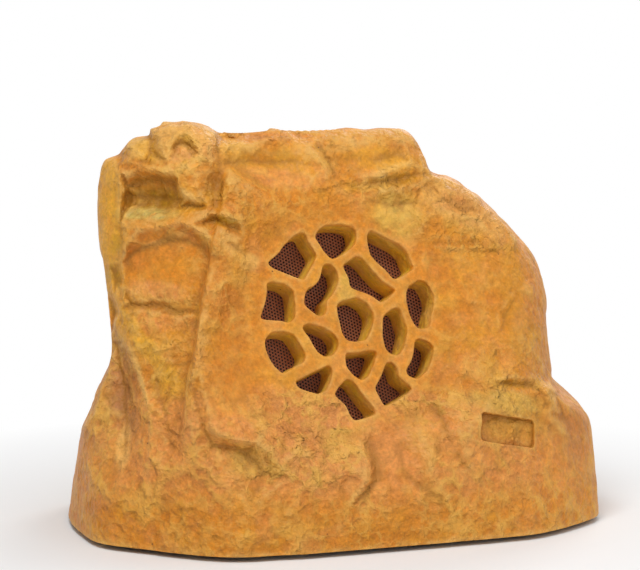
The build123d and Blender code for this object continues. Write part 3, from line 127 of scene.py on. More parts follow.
# Folds of the skin, as lines through pixels of the picture: column, row, and rise in millimetres over
# the plain form of the masses. The lines never cross, and the skin is flat between them.
FOLDS = {
    "outline": [(60, 560, 0), (56, 480, 0), (70, 432, 0), (90, 400, -4), (102, 370, -5), (109, 340, -5),
                (112, 314, -8), (103, 285, -4), (94, 250, -2), (91, 200, 0), (96, 172, -1), (104, 154, 1),
                (119, 152, 1), (127, 134, 4), (140, 125, 20), (149, 121, 44), (158, 118, 16),
                (185, 116, 10), (210, 116, 24), (215, 128, 2), (218, 135, -5), (232, 135, -5),
                (252, 129, -2), (282, 122, 3), (300, 131, -3), (335, 129, -1), (365, 124, 0),
                (400, 124, 1), (413, 132, 1), (422, 152, 1), (432, 172, 0), (463, 182, 0), (485, 196, 0),
                (523, 238, 0), (540, 262, 0), (549, 310, 0), (555, 370, 0), (564, 390, -1),
                (585, 402, -2), (594, 430, -3), (606, 470, -1), (612, 510, 0), (604, 560, 0),
                (320, 575, 0)],
    "knob_left_crest": [(130, 161, 4), (135, 149, 6), (146, 129, 6)],
    "knob_groove": [(146, 162, -1), (151, 150, -4), (151, 136, 1)],
    "knob_middle_crest": [(168, 163, 3), (161, 146, 5), (154, 127, 6)],
    "scoop_rim": [(170, 150, 4), (172, 142, 5), (176, 135, 6), (184, 132, 6), (192, 137, 6),
                  (198, 147, 5), (200, 158, 4)],
    "scoop_wall": [(175, 149, -2), (182, 143, -2), (189, 145, -2), (194, 153, 0)],
    "scoop_bowl": [(172, 159, 2), (183, 158, 0), (195, 160, 3)],
    "knob_edge": [(210, 125, 6), (213, 140, 5), (212, 160, 4)],
    "knob_foot": [(217, 141, -2), (219, 158, -2)],
    "ledge": [(109, 160, 3), (121, 163, 2), (140, 168, 4), (165, 168, 4), (185, 167, 3), (200, 169, 4)],
    "roof_edge": [(127, 178, 3), (137, 173, 4), (158, 171, 4), (177, 178, 3)],
    "roof_inside": [(128, 187, -7), (138, 181, -9), (156, 178, -8), (174, 186, -7)],
    "hollow_back": [(126, 195, -12), (140, 197, -15), (160, 197, -15), (177, 199, -11)],
    "hollow_floor": [(126, 203, -11), (150, 204, -13), (178, 206, -9)],
    "hollow_end": [(187, 206, -6), (201, 206, -2)],
    "end_roof": [(180, 190, 1), (188, 199, 2), (201, 202, 2)],
    "sill": [(121, 221, 2), (140, 221, 3), (160, 220, 3), (175, 219, 3), (192, 214, 2), (208, 208, 2)],
    "strip_edge": [(121, 172, 3), (120, 198, 3), (121, 221, 2), (123, 241, 2), (120, 262, 3),
                   (124, 286, 3), (126, 302, 3)],
    "strip_middle": [(104, 178, 2), (103, 220, 1), (107, 262, 2), (114, 296, 2)],
    "strip_dent": [(113, 272, -1.5), (117, 280, -1.5)],
    "cheek": [(181, 176, 3), (190, 174, 4), (197, 179, 5), (201, 198, 3)],
    "quad_edge": [(211, 168, 2), (220, 177, -3), (224, 187, -3), (230, 206, -1)],
    "quad_foot": [(206, 200, 2), (222, 194, -2)],
    "notch_top": [(210, 213, 3), (225, 215, 3), (239, 218, 2)],
    "notch_floor": [(214, 220, -4), (234, 223, -4)],
    "notch_foot": [(213, 229, 3), (236, 231, 1)],
    "dent_left": [(222, 238, 4), (232, 258, 4), (244, 274, 2)],
    "dent_floor": [(230, 240, -1), (240, 255, -3)],
    "dent_right": [(241, 236, 1), (251, 253, 1), (259, 268, 1)],
    "disc_rim": [(125, 255, 3), (129, 242, 5), (141, 231, 6), (158, 227, 6), (174, 223, 6), (192, 226, 6),
                 (208, 235, 6), (219, 250, 4), (220, 272, 3), (211, 286, 3)],
    "disc_step": [(129, 258, -2), (143, 248, -2), (165, 240, -2), (188, 240, -2), (203, 249, -3),
                  (210, 264, -3)],
    "disc_foot": [(127, 298, 0), (145, 301, 1), (165, 301, 1), (182, 299, 1), (200, 290, 0)],
    "crack": [(132, 305, -2), (148, 306, -2), (165, 307, -2), (180, 312, -2)],
    "crack_lip": [(135, 312, 2), (158, 314, 2), (182, 319, 2), (203, 313, 1)],
    "band_top": [(120, 310, 5), (135, 326, 6), (152, 346, 6), (168, 360, 5)],
    "band_foot": [(115, 322, 3), (127, 339, 4), (145, 361, 4), (157, 375, 3)],
    "flank_ridge": [(131, 352, 4), (135, 367, 4), (144, 389, 5), (148, 402, 5), (151, 428, 3),
                    (148, 460, 1)],
    "flank_pan": [(117, 345, -6), (122, 385, -9), (126, 420, -8), (124, 460, -4)],
    "flank_edge": [(107, 374, 2), (98, 402, 2), (88, 426, 2), (82, 460, 1)],
    "block_edge": [(172, 366, 3), (184, 384, 3), (184, 399, 3), (193, 438, 2), (198, 462, 1)],
    "block_pan": [(158, 390, -1), (166, 415, -2), (172, 445, -1)],
    "pink_pan": [(195, 398, -1), (204, 428, -1)],
    "valley": [(226, 300, -1), (216, 330, -2), (207, 356, -2)],
    "pan_left": [(200, 372, 2), (208, 404, 2), (211, 424, 4), (218, 433, 5), (234, 439, 6), (257, 440, 6),
                 (279, 461, 4), (292, 478, 3)],
    "pan_floor": [(238, 335, -3), (236, 368, -6), (240, 400, -6), (252, 418, -3)],
    "pan_right": [(266, 352, 0), (274, 380, 0), (270, 396, 3), (285, 399, 6), (302, 406, 5),
                  (318, 411, 6), (342, 421, 5), (356, 424, 4)],
    "under_ledge": [(214, 446, -5), (244, 452, -6), (264, 472, -4)],
    "bulge_foot": [(290, 418, -3), (318, 428, -3), (340, 438, -1)],
    "front_rough": [(300, 450, 5), (325, 462, 2), (345, 455, 6)],
    "pan_side": [(361, 432, 6), (362, 452, 6), (366, 482, 4)],
    "low_pan_left": [(370, 436, -5), (375, 480, -5)],
    "low_pan_right": [(400, 446, -6), (404, 476, -5)],
    "low_pan_edge": [(428, 440, 2), (432, 470, 2)],
    "right_ridge": [(378, 414, 4), (396, 406, 5), (414, 397, 6), (424, 394, 7), (440, 399, 7),
                    (455, 412, 6), (467, 427, 4)],
    "ridge_foot": [(398, 420, -3), (420, 408, -3), (440, 414, -3), (452, 428, -2)],
    "small_pan": [(438, 450, -2), (458, 456, -2)],
    "small_pan_edge": [(466, 442, 1), (468, 468, 1)],
    "side_notch_top": [(492, 380, 1), (515, 377, 2), (540, 378, 1)],
    "side_notch": [(502, 384, -2), (526, 384, -3)],
    "side_notch_foot": [(490, 390, 1), (515, 391, 1), (540, 389, 1)],
    "side_ridge": [(504, 400, 2), (521, 408, 2)],
    "foot_ridge": [(546, 390, 4), (552, 402, 4), (548, 412, 2)],
    "foot_groove": [(558, 400, -4), (564, 414, -5), (572, 440, -3)],
    "band_rim": [(224, 143, -2), (254, 143, 1), (284, 136, 2), (296, 142, 1), (312, 140, 1)],
    "band_pan": [(230, 160, -4), (262, 162, -6), (296, 160, -4)],
    "band_low": [(236, 186, 0), (270, 190, 1), (304, 188, 1), (328, 190, 1)],
    "block_left": [(310, 147, 2), (317, 156, 2), (325, 166, 2)],
    "block_crack": [(320, 146, -2), (328, 158, -3), (334, 176, -2)],
    "slab_rim": [(332, 139, 2), (356, 142, 2), (384, 138, 3), (404, 142, 3)],
    "slab_pan": [(348, 158, 0), (376, 160, 0), (396, 154, 0)],
    "slab_lip": [(352, 174, 1), (366, 177, 2), (380, 174, 4), (396, 170, 4), (412, 163, 4)],
    "slab_under": [(362, 184, 0), (378, 183, -1), (394, 181, -2), (414, 174, -1)],
    "slab_shelf": [(358, 190, 1), (376, 192, 1), (398, 190, 2), (420, 184, 1)],
    "scoop_floor": [(374, 200, -2), (388, 203, -4), (402, 203, -4), (416, 204, -2)],
    "scoop_edge": [(428, 206, 1), (427, 217, 2), (421, 229, 2), (409, 240, 1)],
    "scoop_low": [(360, 200, 1), (380, 214, -1), (396, 224, -2), (408, 224, -2)],
    "shoulder_crack": [(430, 184, -1), (442, 198, -1)],
    "shoulder_lump": [(448, 192, 2), (470, 200, 2)],
    "shoulder_dip": [(452, 204, -1), (478, 212, -1)],
    "shoulder_ridge": [(440, 211, 2), (456, 214, 2), (474, 219, 2), (494, 236, 2)],
    "plane_line": [(446, 243, -0.5), (466, 245, -0.6)],
    "plane_top": [(448, 249, 0.5), (470, 252, 0.5), (500, 250, 0.4)],
    "plane_middle": [(470, 300, 0), (500, 310, 0)],
    "side_crack": [(432, 298, 0), (447, 300, -1), (473, 302, -1)],
    "edge_crack": [(519, 290, -1), (505, 317, -2), (498, 338, -1)],
    "skirt": [(76, 498, 0), (150, 503, 0), (250, 506, 0), (350, 508, 0), (450, 506, 0), (540, 500, 0),
              (594, 496, 0)],
    "edge_facet": [(532, 286, 2), (538, 320, 2), (540, 350, 1)],
}

# Dips of the form around its edge: column, row, half width, half height, softness, depth in millimetres.
# They run on behind the edge, out of the picture's sight.
DIPS = {
    "band": (282, 118, 72, 26, 0.4, 4.5),
    "band_left": (236, 116, 26, 26, 0.35, 7.0),
    "band_gap": (306, 118, 22, 26, 0.8, 6.5),
    "shoulder_notch": (436, 168, 9, 9, 0.5, 2.5),
    "waist": (98, 314, 26, 46, 0.7, 9.0),
}

# Where the skin is smoother or rougher than elsewhere: column, row, half width, half height, roughness
ROUGHNESS = {
    "lattice": (346, 322, 92, 106, 0.3),
    "right_plane": (482, 292, 62, 46, 0.45),
    "strip": (108, 235, 13, 75, 0.35),
    "disc": (168, 266, 38, 24, 0.35),
    "orange_pan": (238, 372, 28, 46, 0.35),
    "band": (268, 166, 46, 22, 0.45),
    "slab": (372, 155, 36, 14, 0.6),
    "low_pan": (392, 458, 32, 26, 0.4),
    "foot_right": (566, 446, 34, 40, 0.5),
    "knob_right": (202, 140, 12, 20, 1.2),
    "under_slab": (390, 186, 40, 9, 1.3),
    "shoulder": (464, 206, 40, 15, 1.2),
    "plane_line": (474, 244, 36, 6, 1.5),
    "column_edge": (232, 202, 22, 22, 1.4),
    "bulge": (302, 404, 50, 14, 1.4),
    "front": (300, 452, 58, 34, 1.5),
    "right_ridge": (430, 403, 40, 12, 1.3),
    "block": (172, 412, 28, 40, 1.2),
    "side_notch": (516, 390, 30, 14, 1.3),
}

# Roughness of the skin: height in millimetres, size in millimetres and seed
SKIN_CHIPS = ((1.2, 24.0, 1), (0.7, 8.0, 2))
BACK_CHIPS = ((3.0, 60.0, 3), (4.0, 24.0, 6))
FINE_CHIPS = (0.8, 4.5, 4)
FINE_FROM = 0.7              # roughness from which the fine chips show
RUGGED = (0.3, 12.0, 1)
SWELL = (0.8, 50.0, 5)
OCTAVES = 4
FADE_OF_OCTAVES = 0.9        # how fast the finer sizes of noise weaken
STEP_OF_OCTAVES = 2.1        # how much finer each is than the one before
WANDER_SHIFT = (13.7, 7.1, 3.3)   # how far apart two seeds lie in each kind of noise
RUGGED_SHIFT = (5.3, 11.9, 2.7)
CHIP_SHIFT = (3.1, 9.7, 5.9)
CHIP_SOFTNESS = 0.05         # how far the edges between chips are rounded, in sizes of a chip
CHIP_POWER = -6
CHIP_SPREAD = 7.3            # keeps the leans of neighbouring chips apart
PATCH_SOFTNESS = 0.5         # of the patches of roughness
PATCH_POWER = 3              # makes all patches a little squarer than an ellipse
BROAD_WANDER = (2.2, 18.0)   # how many pixels a patch's edge wanders, and over what size
FINE_WANDER = (1.3, 6.0)
FRONT_FADE = (-0.15, 0.25)   # where the front that the picture shows begins
VIEW_LEAN = (0.1, 0.6)       # how far a place faces the camera before it is pushed towards it

# Paint colours, linear
PAINT = {
    "ochre": (0.590, 0.212, 0.015),
    "orange": (0.590, 0.192, 0.012),
    "red": (0.530, 0.156, 0.020),
    "yellow": (0.670, 0.325, 0.022),
    "pink": (0.670, 0.258, 0.066),
    "pale": (0.800, 0.455, 0.120),
    "olive": (0.420, 0.220, 0.006),
    "green": (0.580, 0.390, 0.066),
    "moss": (0.760, 0.480, 0.030),
    "lime": (0.560, 0.470, 0.130),
    "brown": (0.350, 0.130, 0.012),
    "grey": (0.370, 0.150, 0.045),
    "rust": (0.470, 0.145, 0.020),
}

# Painted patches: column, row, half width, half height, turn, paint, strength. Some of them are painted light
# and painted shade, marked as such below.
TINTS = {
    "low_front": (330, 446, 260, 52, 0, "pink", 0.65),
    # knob and shoulder_pale: painted light, paler where these tops face up
    "knob": (172, 140, 46, 24, 0, "pale", 0.55),
    "shoulder_pale": (468, 206, 46, 20, 25, "pale", 0.6),
    "knob_yellow": (149, 150, 12, 13, -20, "yellow", 0.8),
    "knob_brown": (158, 142, 6, 16, -25, "brown", 0.5),
    "knob_face": (129, 150, 7, 12, 25, "brown", 0.35),
    # knob_crescent: painted shadow under the scoop's overhanging edge; knob_bowl: painted light on its
    # upward-facing bottom
    "knob_crescent": (189, 142, 9, 7, 35, "olive", 0.55),
    "knob_bowl": (183, 155, 12, 7, 0, "pink", 0.7),
    "knob_block": (204, 140, 9, 20, 0, "pink", 0.4),
    "ledge": (160, 165, 40, 5, 2, "orange", 0.6),
    "strip": (108, 225, 13, 76, -3, "yellow", 0.8),
    "strip_olive_low": (112, 273, 6, 8, 20, "olive", 0.75),
    "strip_olive_high": (116, 245, 6, 9, 0, "olive", 0.5),
    "strip_olive_dot": (119, 281, 4, 6, 0, "olive", 0.6),
    "hollow_wall": (152, 184, 26, 14, 0, "ochre", 0.6),
    # hollow_middle: painted shade deep in the hollow; hollow_floor: painted light on its upward-facing floor
    "hollow_middle": (150, 199, 28, 9, 0, "olive", 0.85),
    "hollow_floor": (149, 213, 27, 6, 0, "lime", 0.75),
    "hollow_end": (190, 206, 14, 5, -10, "yellow", 0.7),
    "hollow_lip": (166, 196, 14, 6, 20, "olive", 0.4),
    "cheek_edge": (188, 197, 11, 4, 38, "pale", 0.7),
    # quad: painted shade on a facet that faces away from the light
    "quad": (210, 183, 10, 14, 14, "brown", 0.7),
    "quad_low": (214, 200, 10, 8, 20, "yellow", 0.5),
    "notch": (225, 220, 13, 4, 8, "olive", 0.85),
    "dent": (231, 246, 8, 13, -30, "pale", 0.5),
    "dent_patch": (250, 263, 9, 8, 0, "pale", 0.6),
    # disc_left: painted shade on the disc's upper part, which faces down
    "disc_left": (140, 256, 20, 12, -12, "rust", 0.6),
    "disc": (170, 264, 40, 22, 0, "orange", 0.6),
    "disc_rim": (162, 232, 34, 6, -8, "red", 0.4),
    # disc_high: painted highlight along the disc's upper ledge; disc_low: painted light on its lower part,
    # which faces up
    "disc_high": (163, 240, 22, 3, -18, "pale", 0.45),
    "disc_low": (158, 290, 26, 8, 6, "pink", 0.8),
    # crack: painted shadow in the crack
    "crack": (156, 309, 24, 4, 6, "brown", 0.6),
    "under_crack": (170, 322, 30, 8, 6, "pink", 0.4),
    "column_side": (212, 282, 14, 30, 0, "red", 0.35),
    # valley: painted shade where the skin dips between the column and the lattice
    "valley": (228, 312, 14, 26, -6, "rust", 0.4),
    "band": (146, 346, 50, 8, 52, "yellow", 0.85),
    "ridge": (138, 372, 28, 2.4, 73, "pale", 0.85),
    "flank": (120, 382, 16, 50, -8, "grey", 0.85),
    "flank_low": (100, 425, 16, 26, 20, "grey", 0.4),
    "streak": (123, 448, 6, 22, 8, "pale", 0.55),
    "block_olive": (168, 380, 14, 16, 20, "yellow", 0.6),
    # block_pink: painted highlight on a smooth lump
    "block_pink": (194, 426, 6, 12, 0, "pink", 0.7),
    "pan": (240, 368, 28, 48, 4, "orange", 0.6),
    "pan_foot": (240, 424, 24, 7, 4, "pink", 0.5),
    "front_green": (250, 460, 20, 16, 0, "green", 0.5),
    "low_rough": (320, 445, 50, 36, 0, "pink", 0.6),
    "low_pan": (392, 456, 32, 26, 0, "pink", 0.45),
    "bulge": (302, 404, 46, 10, 16, "pink", 0.45),
    "right_ridge": (432, 400, 34, 7, 12, "pink", 0.4),
    "side_green": (506, 402, 36, 10, 6, "green", 0.6),
    "side_notch": (516, 384, 22, 4, 0, "olive", 0.6),
    "scoop": (398, 214, 26, 20, 34, "green", 0.55),
    "scoop_middle": (400, 208, 14, 9, 34, "lime", 0.25),
    # under_slab: painted shadow under the slab's lower edge
    "under_slab": (384, 182, 36, 6, -8, "olive", 0.5),
    "slab": (376, 158, 32, 12, 2, "yellow", 0.45),
    "slab_lip": (396, 167, 18, 3, -22, "pale", 0.5),
    # band_high: painted shade on the band's upper wall, which faces down; band_low: painted light on its
    # lower part, which faces up; top_rim: painted light on the top edge
    "band_high": (262, 158, 40, 10, 6, "olive", 0.28),
    "band_low": (278, 178, 36, 9, 6, "pink", 0.55),
    "top_rim": (262, 137, 40, 5, -6, "pink", 0.5),
    # block_crack: painted shadow in the crack at the block's left edge
    "block_crack": (327, 162, 4, 14, -22, "brown", 0.5),
    "shoulder": (464, 208, 34, 12, 20, "pink", 0.5),
    "shoulder_red": (458, 196, 14, 5, 20, "red", 0.4),
    # plane_edge: painted shade where the right plane turns away
    "plane_edge": (520, 320, 16, 50, -6, "olive", 0.22),
    "plane_red": (534, 302, 9, 22, -6, "red", 0.6),
    "foot_side": (566, 424, 18, 26, 0, "rust", 0.35),
    "foot_right": (580, 450, 18, 36, -8, "grey", 0.4),
    "badge": (514, 426, 34, 15, -4, "olive", 0.45),
    "rib": (346, 290, 9, 16, 10, "green", 0.55),
}
BASE_PAINT = "ochre"
WALL_PAINT = "moss"          # walls of the lattice cells
WALL_STRENGTH = 0.85
WALL_FADE = (1.0, 7.0)       # depths between which the walls' paint sets in
TINT_SOFTNESS = 0.42
RAGGED = (0.45, 8.0, 3, 9)   # of the patches' edges: strength, size, octaves and seed
MOTTLING = {                 # size and seed of the noise, its sign, where it begins and is full, strength
    "orange": (26.0, 7, 1.0, 0.0, 0.5, 1.0),
    "yellow": (26.0, 7, -1.0, 0.0, 0.5, 0.5),
    "pink": (18.0, 8, 1.0, 0.1, 0.6, 0.6),
}
MOTTLE_STRENGTH = 0.6
FINE_ROUNDS = 3              # rounds of smoothing against which fine and broad bends are measured
BROAD_ROUNDS = 14
# Pale paint that is also painted highlight, on convex bends
CREST_AND_HIGHLIGHT = (1.6, 0.08, 0.7)     # strength of fine and of broad bends, and the most that they give
# Painted shade, darker in concave bends: hollows and creases
PIT_SHADE = (1.5, 0.09, 0.65)

# Fineness of the meshes
COLUMNS = 390
ROWS = 222
FINE_TURNS = 1440            # turns at which the rock's girth is measured
FINE_ROWS = 160              # places up each side at which its length is measured
BACK_SHARE = 0.36            # how closely the columns lie at the back, next to the front
BACK_FADE = (-0.45, 0.1)     # between these cosines of the turn from the view
LEFT_SHARE = 1.4             # and on the left of the front, where the folds are
LEFT_TURNS = (-95.0, -80.0, -35.0, -20.0)
TOP_SHARE = 0.5              # how closely the rows lie on top, next to the sides
TOP_START = (56.0, 70.0)     # elevations between which the rows spread out
HOLLOW_ROWS = 18
LATTICE_RADIUS = 84.0        # part of the front that is meshed around the cells
LATTICE_PITCH = 1.9
CELL_STEP = 1.25             # spacing of points around a cell
CELL_SMOOTHING = 3           # rounds of smoothing of a cell's outline
CELL_EDGE = 1.5              # radius of a cell's front edge
CELL_DRAFT = 0.8             # how much narrower a cell is at the sheet
EDGE_TURNS = (25.0, 50.0, 72.0, 90.0)
WALL_SHARES = (0.3, 0.65, 1.0)
BOX_MARGIN = 0.1             # the mesh stays inside the CAD box by this much
SEARCH_ROUNDS = 4            # steps that find the skin in front of a place
LEVEL_ROUNDS = 26            # steps that find the skin at a height
FOLD_BLUR = 0.4              # how far the folds are rounded, in pixels of the picture
CREASE_ANGLE = 16.0          # bends of the skin from which an edge is sharp
NORMAL_STEP = 2.5            # turn over which the plain form's slope is measured
STEEP = 0.99                 # rise of a ray from which it counts as straight up
SHALLOW = 0.15               # rays that look less far ahead than this miss the lattice
MERGE = 1e-6                 # places this close are one when a net of triangles is made
LEVEL_SEARCH = (-75.0, 20.0)  # elevations between which a level of the skin is looked for
FOOT_FADE = 6.0              # height over which the foot of the skin rises from the rim
FOOT_LIFT = 0.4
HOLLOW_START = 6.0           # height of the hollow's first ring over the seat
SEAT_TOLERANCE = 0.02        # how far a point of the CAD shell may lie from the seat's plane
CELL_SIZES = (12.0, 90.0)    # sizes between which an outline on that plane is a cell
ROW_MARGIN = 1.2             # a honeycomb's rows lie closer than its columns, so there are more of them
SPOT_GAP = 0.55              # room around an outline that has no other points, in pitches
EDGE_SHARE = 0.4             # most that a cell's edge takes of the rib between two cells
EDGE_SMOOTHING = 6
GAP_BLOCK = 200              # points that are measured at a time
INNER_WALL = 10.0            # inside of the wall under the plain form
HOLLOW_SINK = 20.0           # how much deeper it lies behind the deep hollow on the left
HOLLOW_PATCH = (152, 196, 54, 54, 0.0, 0.4)   # that hollow's column, row, half sizes, turn and softness

# Badge recess and the land of the cable gland, as in the part's source
BADGE_AZIMUTH = 38.0
BADGE_ELEVATION = -22.0
BADGE_WIDTH = 52.0
BADGE_HEIGHT = 21.0
BADGE_CORNER = 4.0
BADGE_DEPTH = 2.5
BADGE_STEP = 4.0
BADGE_EDGE = 0.9
LAND_RADIUS = 17.0
LAND_EDGE = 1.5
RECESS_STEP = 1.4
RECESS_PITCH = 2.4
RECESS_DRAFT = 0.3
CORNER_TURNS = np.arange(0.0, 91.0, 15.0)
RECESS_MARGIN = 4.5          # skin around a recess that is meshed with it

# Perforated sheet
HOLE_PITCH = 2.5
HOLE_RADIUS = 0.86
HOLE_SIDES = 8
HOLE_FIELD = 78.0
HOLE_TURN = -27.1
SHEET_RADIUS = 87.0
SHEET_SIDES = 128
CONE_ROOM = 0.3              # left behind the sheet, for the cone at its outer limit


def facing(azimuth, elevation):
    """Directions that look towards azimuths and elevations in degrees, from the front (-Y) towards +X."""
    a = np.radians(azimuth)
    e = np.radians(elevation)
    return np.stack([np.sin(a) * np.cos(e), -np.cos(a) * np.cos(e), np.sin(e) + 0.0 * a], axis=-1)


def ease(low, high, value):
    """Smooth step from 0 at low to 1 at high."""
    share = np.clip((value - low) / (high - low), 0.0, 1.0)
    return share * share * (3.0 - 2.0 * share)


def turned(x, y, turn):
    """Places measured along axes that are turned by degrees."""
    c = math.cos(math.radians(turn))
    s = math.sin(math.radians(turn))
    return x * c + y * s, y * c - x * s


def unit(vectors):
    """Rows of vectors, each made 1 long."""
    return vectors / np.linalg.norm(vectors, axis=1)[:, None]


# Places in the frame: the lattice, and the heart that the rock's form is measured from
LATTICE_NORMAL = facing(0.0, GRILLE_TILT)
LATTICE_RISE = facing(180.0, 90.0 - GRILLE_TILT)
LATTICE_SIDE = np.array([1.0, 0.0, 0.0])
sheet_low, sheet_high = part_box("perforated_grille")
SHEET_MIDDLE = np.array((sheet_low + sheet_high) / 2.0) / MM
LATTICE_MIDDLE = SHEET_MIDDLE + LATTICE_NORMAL * (CELL_DEPTH + SHEET_THICKNESS / 2.0)
HEART = (LATTICE_MIDDLE - LATTICE_NORMAL * GRILLE_REACH - LATTICE_SIDE * GRILLE_ACROSS
         - LATTICE_RISE * GRILLE_UP)
BOX_LOW = np.array(cad_low) / MM + BOX_MARGIN
BOX_HIGH = np.array(cad_high) / MM - BOX_MARGIN
VIEW_FRONT = facing(VIEW_AZIMUTH, VIEW_ELEVATION)
VIEW_SIDE = facing(VIEW_AZIMUTH + 90.0, 0.0)
VIEW_UP = np.cross(VIEW_SIDE, -VIEW_FRONT)
PICTURE_GROUND = HEART - np.array([0.0, GROUND_AHEAD, HEART_HEIGHT])
VIEW_TARGET = (PICTURE_GROUND + VIEW_SIDE * (PICTURE_WIDTH / 2.0 - GROUND_COLUMN) * PIXEL
               + VIEW_UP * (GROUND_ROW - PICTURE_HEIGHT / 2.0) * PIXEL)
VIEW_PLACE = VIEW_TARGET + VIEW_FRONT * VIEW_DISTANCE
LENS = SENSOR * VIEW_DISTANCE / (PICTURE_WIDTH * PIXEL)


def in_picture(points):
    """Column and row of the picture at which points of the rock are seen."""
    offset = points - VIEW_PLACE
    depth = -(offset @ VIEW_FRONT)
    scale = VIEW_DISTANCE / (PIXEL * depth)
    return PICTURE_WIDTH / 2.0 + offset @ VIEW_SIDE * scale, PICTURE_HEIGHT / 2.0 - offset @ VIEW_UP * scale


def noise_start(seed, shift):
    """Where in the noise a seed begins."""
    return Vector([seed * part for part in shift])


def wander(points, size, seed):
    """Smooth noise between about -1 and 1 at each point, with lumps of a size in millimetres."""
    shift = noise_start(seed, WANDER_SHIFT)
    return np.array([noise.noise(Vector(p) / size + shift) for p in points])


def rugged(points, size, octaves, seed):
    """Noise of several sizes on top of each other."""
    shift = noise_start(seed, RUGGED_SHIFT)
    return np.array([noise.fractal(Vector(p) / size + shift, FADE_OF_OCTAVES, STEP_OF_OCTAVES, octaves)
                     for p in points])


def chipped(points, size, seed):
    """Flat chips that lean at random, as on broken stone."""
    shift = noise_start(seed, CHIP_SHIFT)
    heights = []
    for p in points:
        place = Vector(p) / size + shift
        gaps, centres = noise.voronoi(place)
        total = 0.0
        weight = 0.0
        for gap, centre in zip(gaps, centres):
            share = (gap + CHIP_SOFTNESS) ** CHIP_POWER
            lean = noise.cell_vector(centre * CHIP_SPREAD) - Vector((0.5, 0.5, 0.5))
            total += share * lean.dot(place - centre)
            weight += share
        heights.append(total / weight)
    return np.array(heights)


def patch_share(column, row, middle_column, middle_row, half_width, half_height, turn, softness):
    """How much of a rounded patch of the picture reaches each place."""
    along, over = turned(column - middle_column, row - middle_row, turn)
    shares = np.abs(along / half_width) ** PATCH_POWER + np.abs(over / half_height) ** PATCH_POWER
    away = shares ** (1.0 / PATCH_POWER)
    return 1.0 - ease(1.0 - softness, 1.0 + softness, away)


def mass_reach(directions, inset):
    """Distance from the heart to the joined masses of the rock."""
    reach = np.zeros(len(directions))
    for name, rows in MASSES.items():
        width = COLUMN_BLEND if name == "left_column" else MASS_BLEND
        facets = np.array(rows + FOOTPRINT, float)
        shares = REACH_SCALE * directions @ facing(facets[:, 0], facets[:, 1]).T / (facets[:, 2] - inset)
        total = (np.clip(shares, 0.0, None) ** EDGE_SHARPNESS).sum(1)
        mass = REACH_SCALE * total ** (-1.0 / EDGE_SHARPNESS)
        overlap = np.clip(width - np.abs(reach - mass), 0.0, None) / width
        reach = np.maximum(reach, mass) + overlap * overlap * width / 4.0
    return reach


def plain_points(directions, inset):
    """Points of the joined masses, an inset under their skin."""
    return HEART + directions * mass_reach(directions, inset)[:, None]


def picture_facts(points):
    """Where points are seen in the picture, wandering a little, and how far they are the front."""
    column, row = in_picture(points)
    broad, broad_size = BROAD_WANDER
    fine, fine_size = FINE_WANDER
    column = column + broad * wander(points, broad_size, 1) + fine * wander(points, fine_size, 2)
    row = row + broad * wander(points, broad_size, 3) + fine * wander(points, fine_size, 4)
    offset = points - HEART
    towards = offset @ facing(VIEW_AZIMUTH, 0.0) / np.linalg.norm(offset, axis=1)
    return column, row, ease(*FRONT_FADE, towards)


def skin_roughness(column, row, front):
    """How rough the skin is at places of the picture, next to its usual roughness."""
    rough = np.ones(len(column))
    for x, y, half_width, half_height, roughness in ROUGHNESS.values():
        share = patch_share(column, row, x, y, half_width, half_height, 0.0, PATCH_SOFTNESS) * front
        rough += share * (roughness - rough)
    return rough


def fold_net():
    """Triangles between the folds: places of their corners in the picture, and the corners' rises."""
    places = []
    rises = []
    edges = []
    for line in FOLDS.values():
        first = len(places)
        places += [Vector((column, row)) for column, row, _ in line]
        rises += [rise for _, _, rise in line]
        edges += [(k, k + 1) for k in range(first, len(places) - 1)]
    found = delaunay_2d_cdt(places, edges, [], 0, MERGE, True)
    corner_places = np.array([tuple(v) for v in found[0]])
    corner_rises = np.array([rises[ids[0]] for ids in found[3]], float)
    triangles = np.array(found[2])
    return corner_places[triangles], corner_rises[triangles]


def fold_rise(column, row):
    """Rise of the folded skin at places of the picture."""
    rise = np.zeros(len(column))
    for (a, b, c), (rise_a, rise_b, rise_c) in zip(*FOLD_NET):
        low = np.minimum(np.minimum(a, b), c)
        high = np.maximum(np.maximum(a, b), c)
        near = np.nonzero((column >= low[0]) & (column <= high[0]) & (row >= low[1]) & (row <= high[1]))[0]
        x = column[near] - a[0]
        y = row[near] - a[1]
        u = b - a
        v = c - a
        area = u[0] * v[1] - u[1] * v[0]
        share_b = (x * v[1] - y * v[0]) / area
        share_c = (u[0] * y - u[1] * x) / area
        held = (share_b >= 0.0) & (share_c >= 0.0) & (share_b + share_c <= 1.0)
        height = rise_a + share_b * (rise_b - rise_a) + share_c * (rise_c - rise_a)
        rise[near[held]] = height[held]
    return rise


FOLD_NET = fold_net()


def plain_normals(directions):
    """Normals of the plain form of the masses, a little smoothed."""
    upright = np.tile([0.0, 0.0, 1.0], (len(directions), 1))
    upright[np.abs(directions[:, 2]) > STEEP] = [0.0, 1.0, 0.0]
    east = unit(np.cross(upright, directions))
    north = np.cross(directions, east)
    step = math.tan(math.radians(NORMAL_STEP))
    ends = []
    for towards in (east, -east, north, -north):
        aims = unit(directions + step * towards)
        ends.append(aims * mass_reach(aims, 0.0)[:, None])
    return unit(np.cross(ends[0] - ends[1], ends[2] - ends[3]))


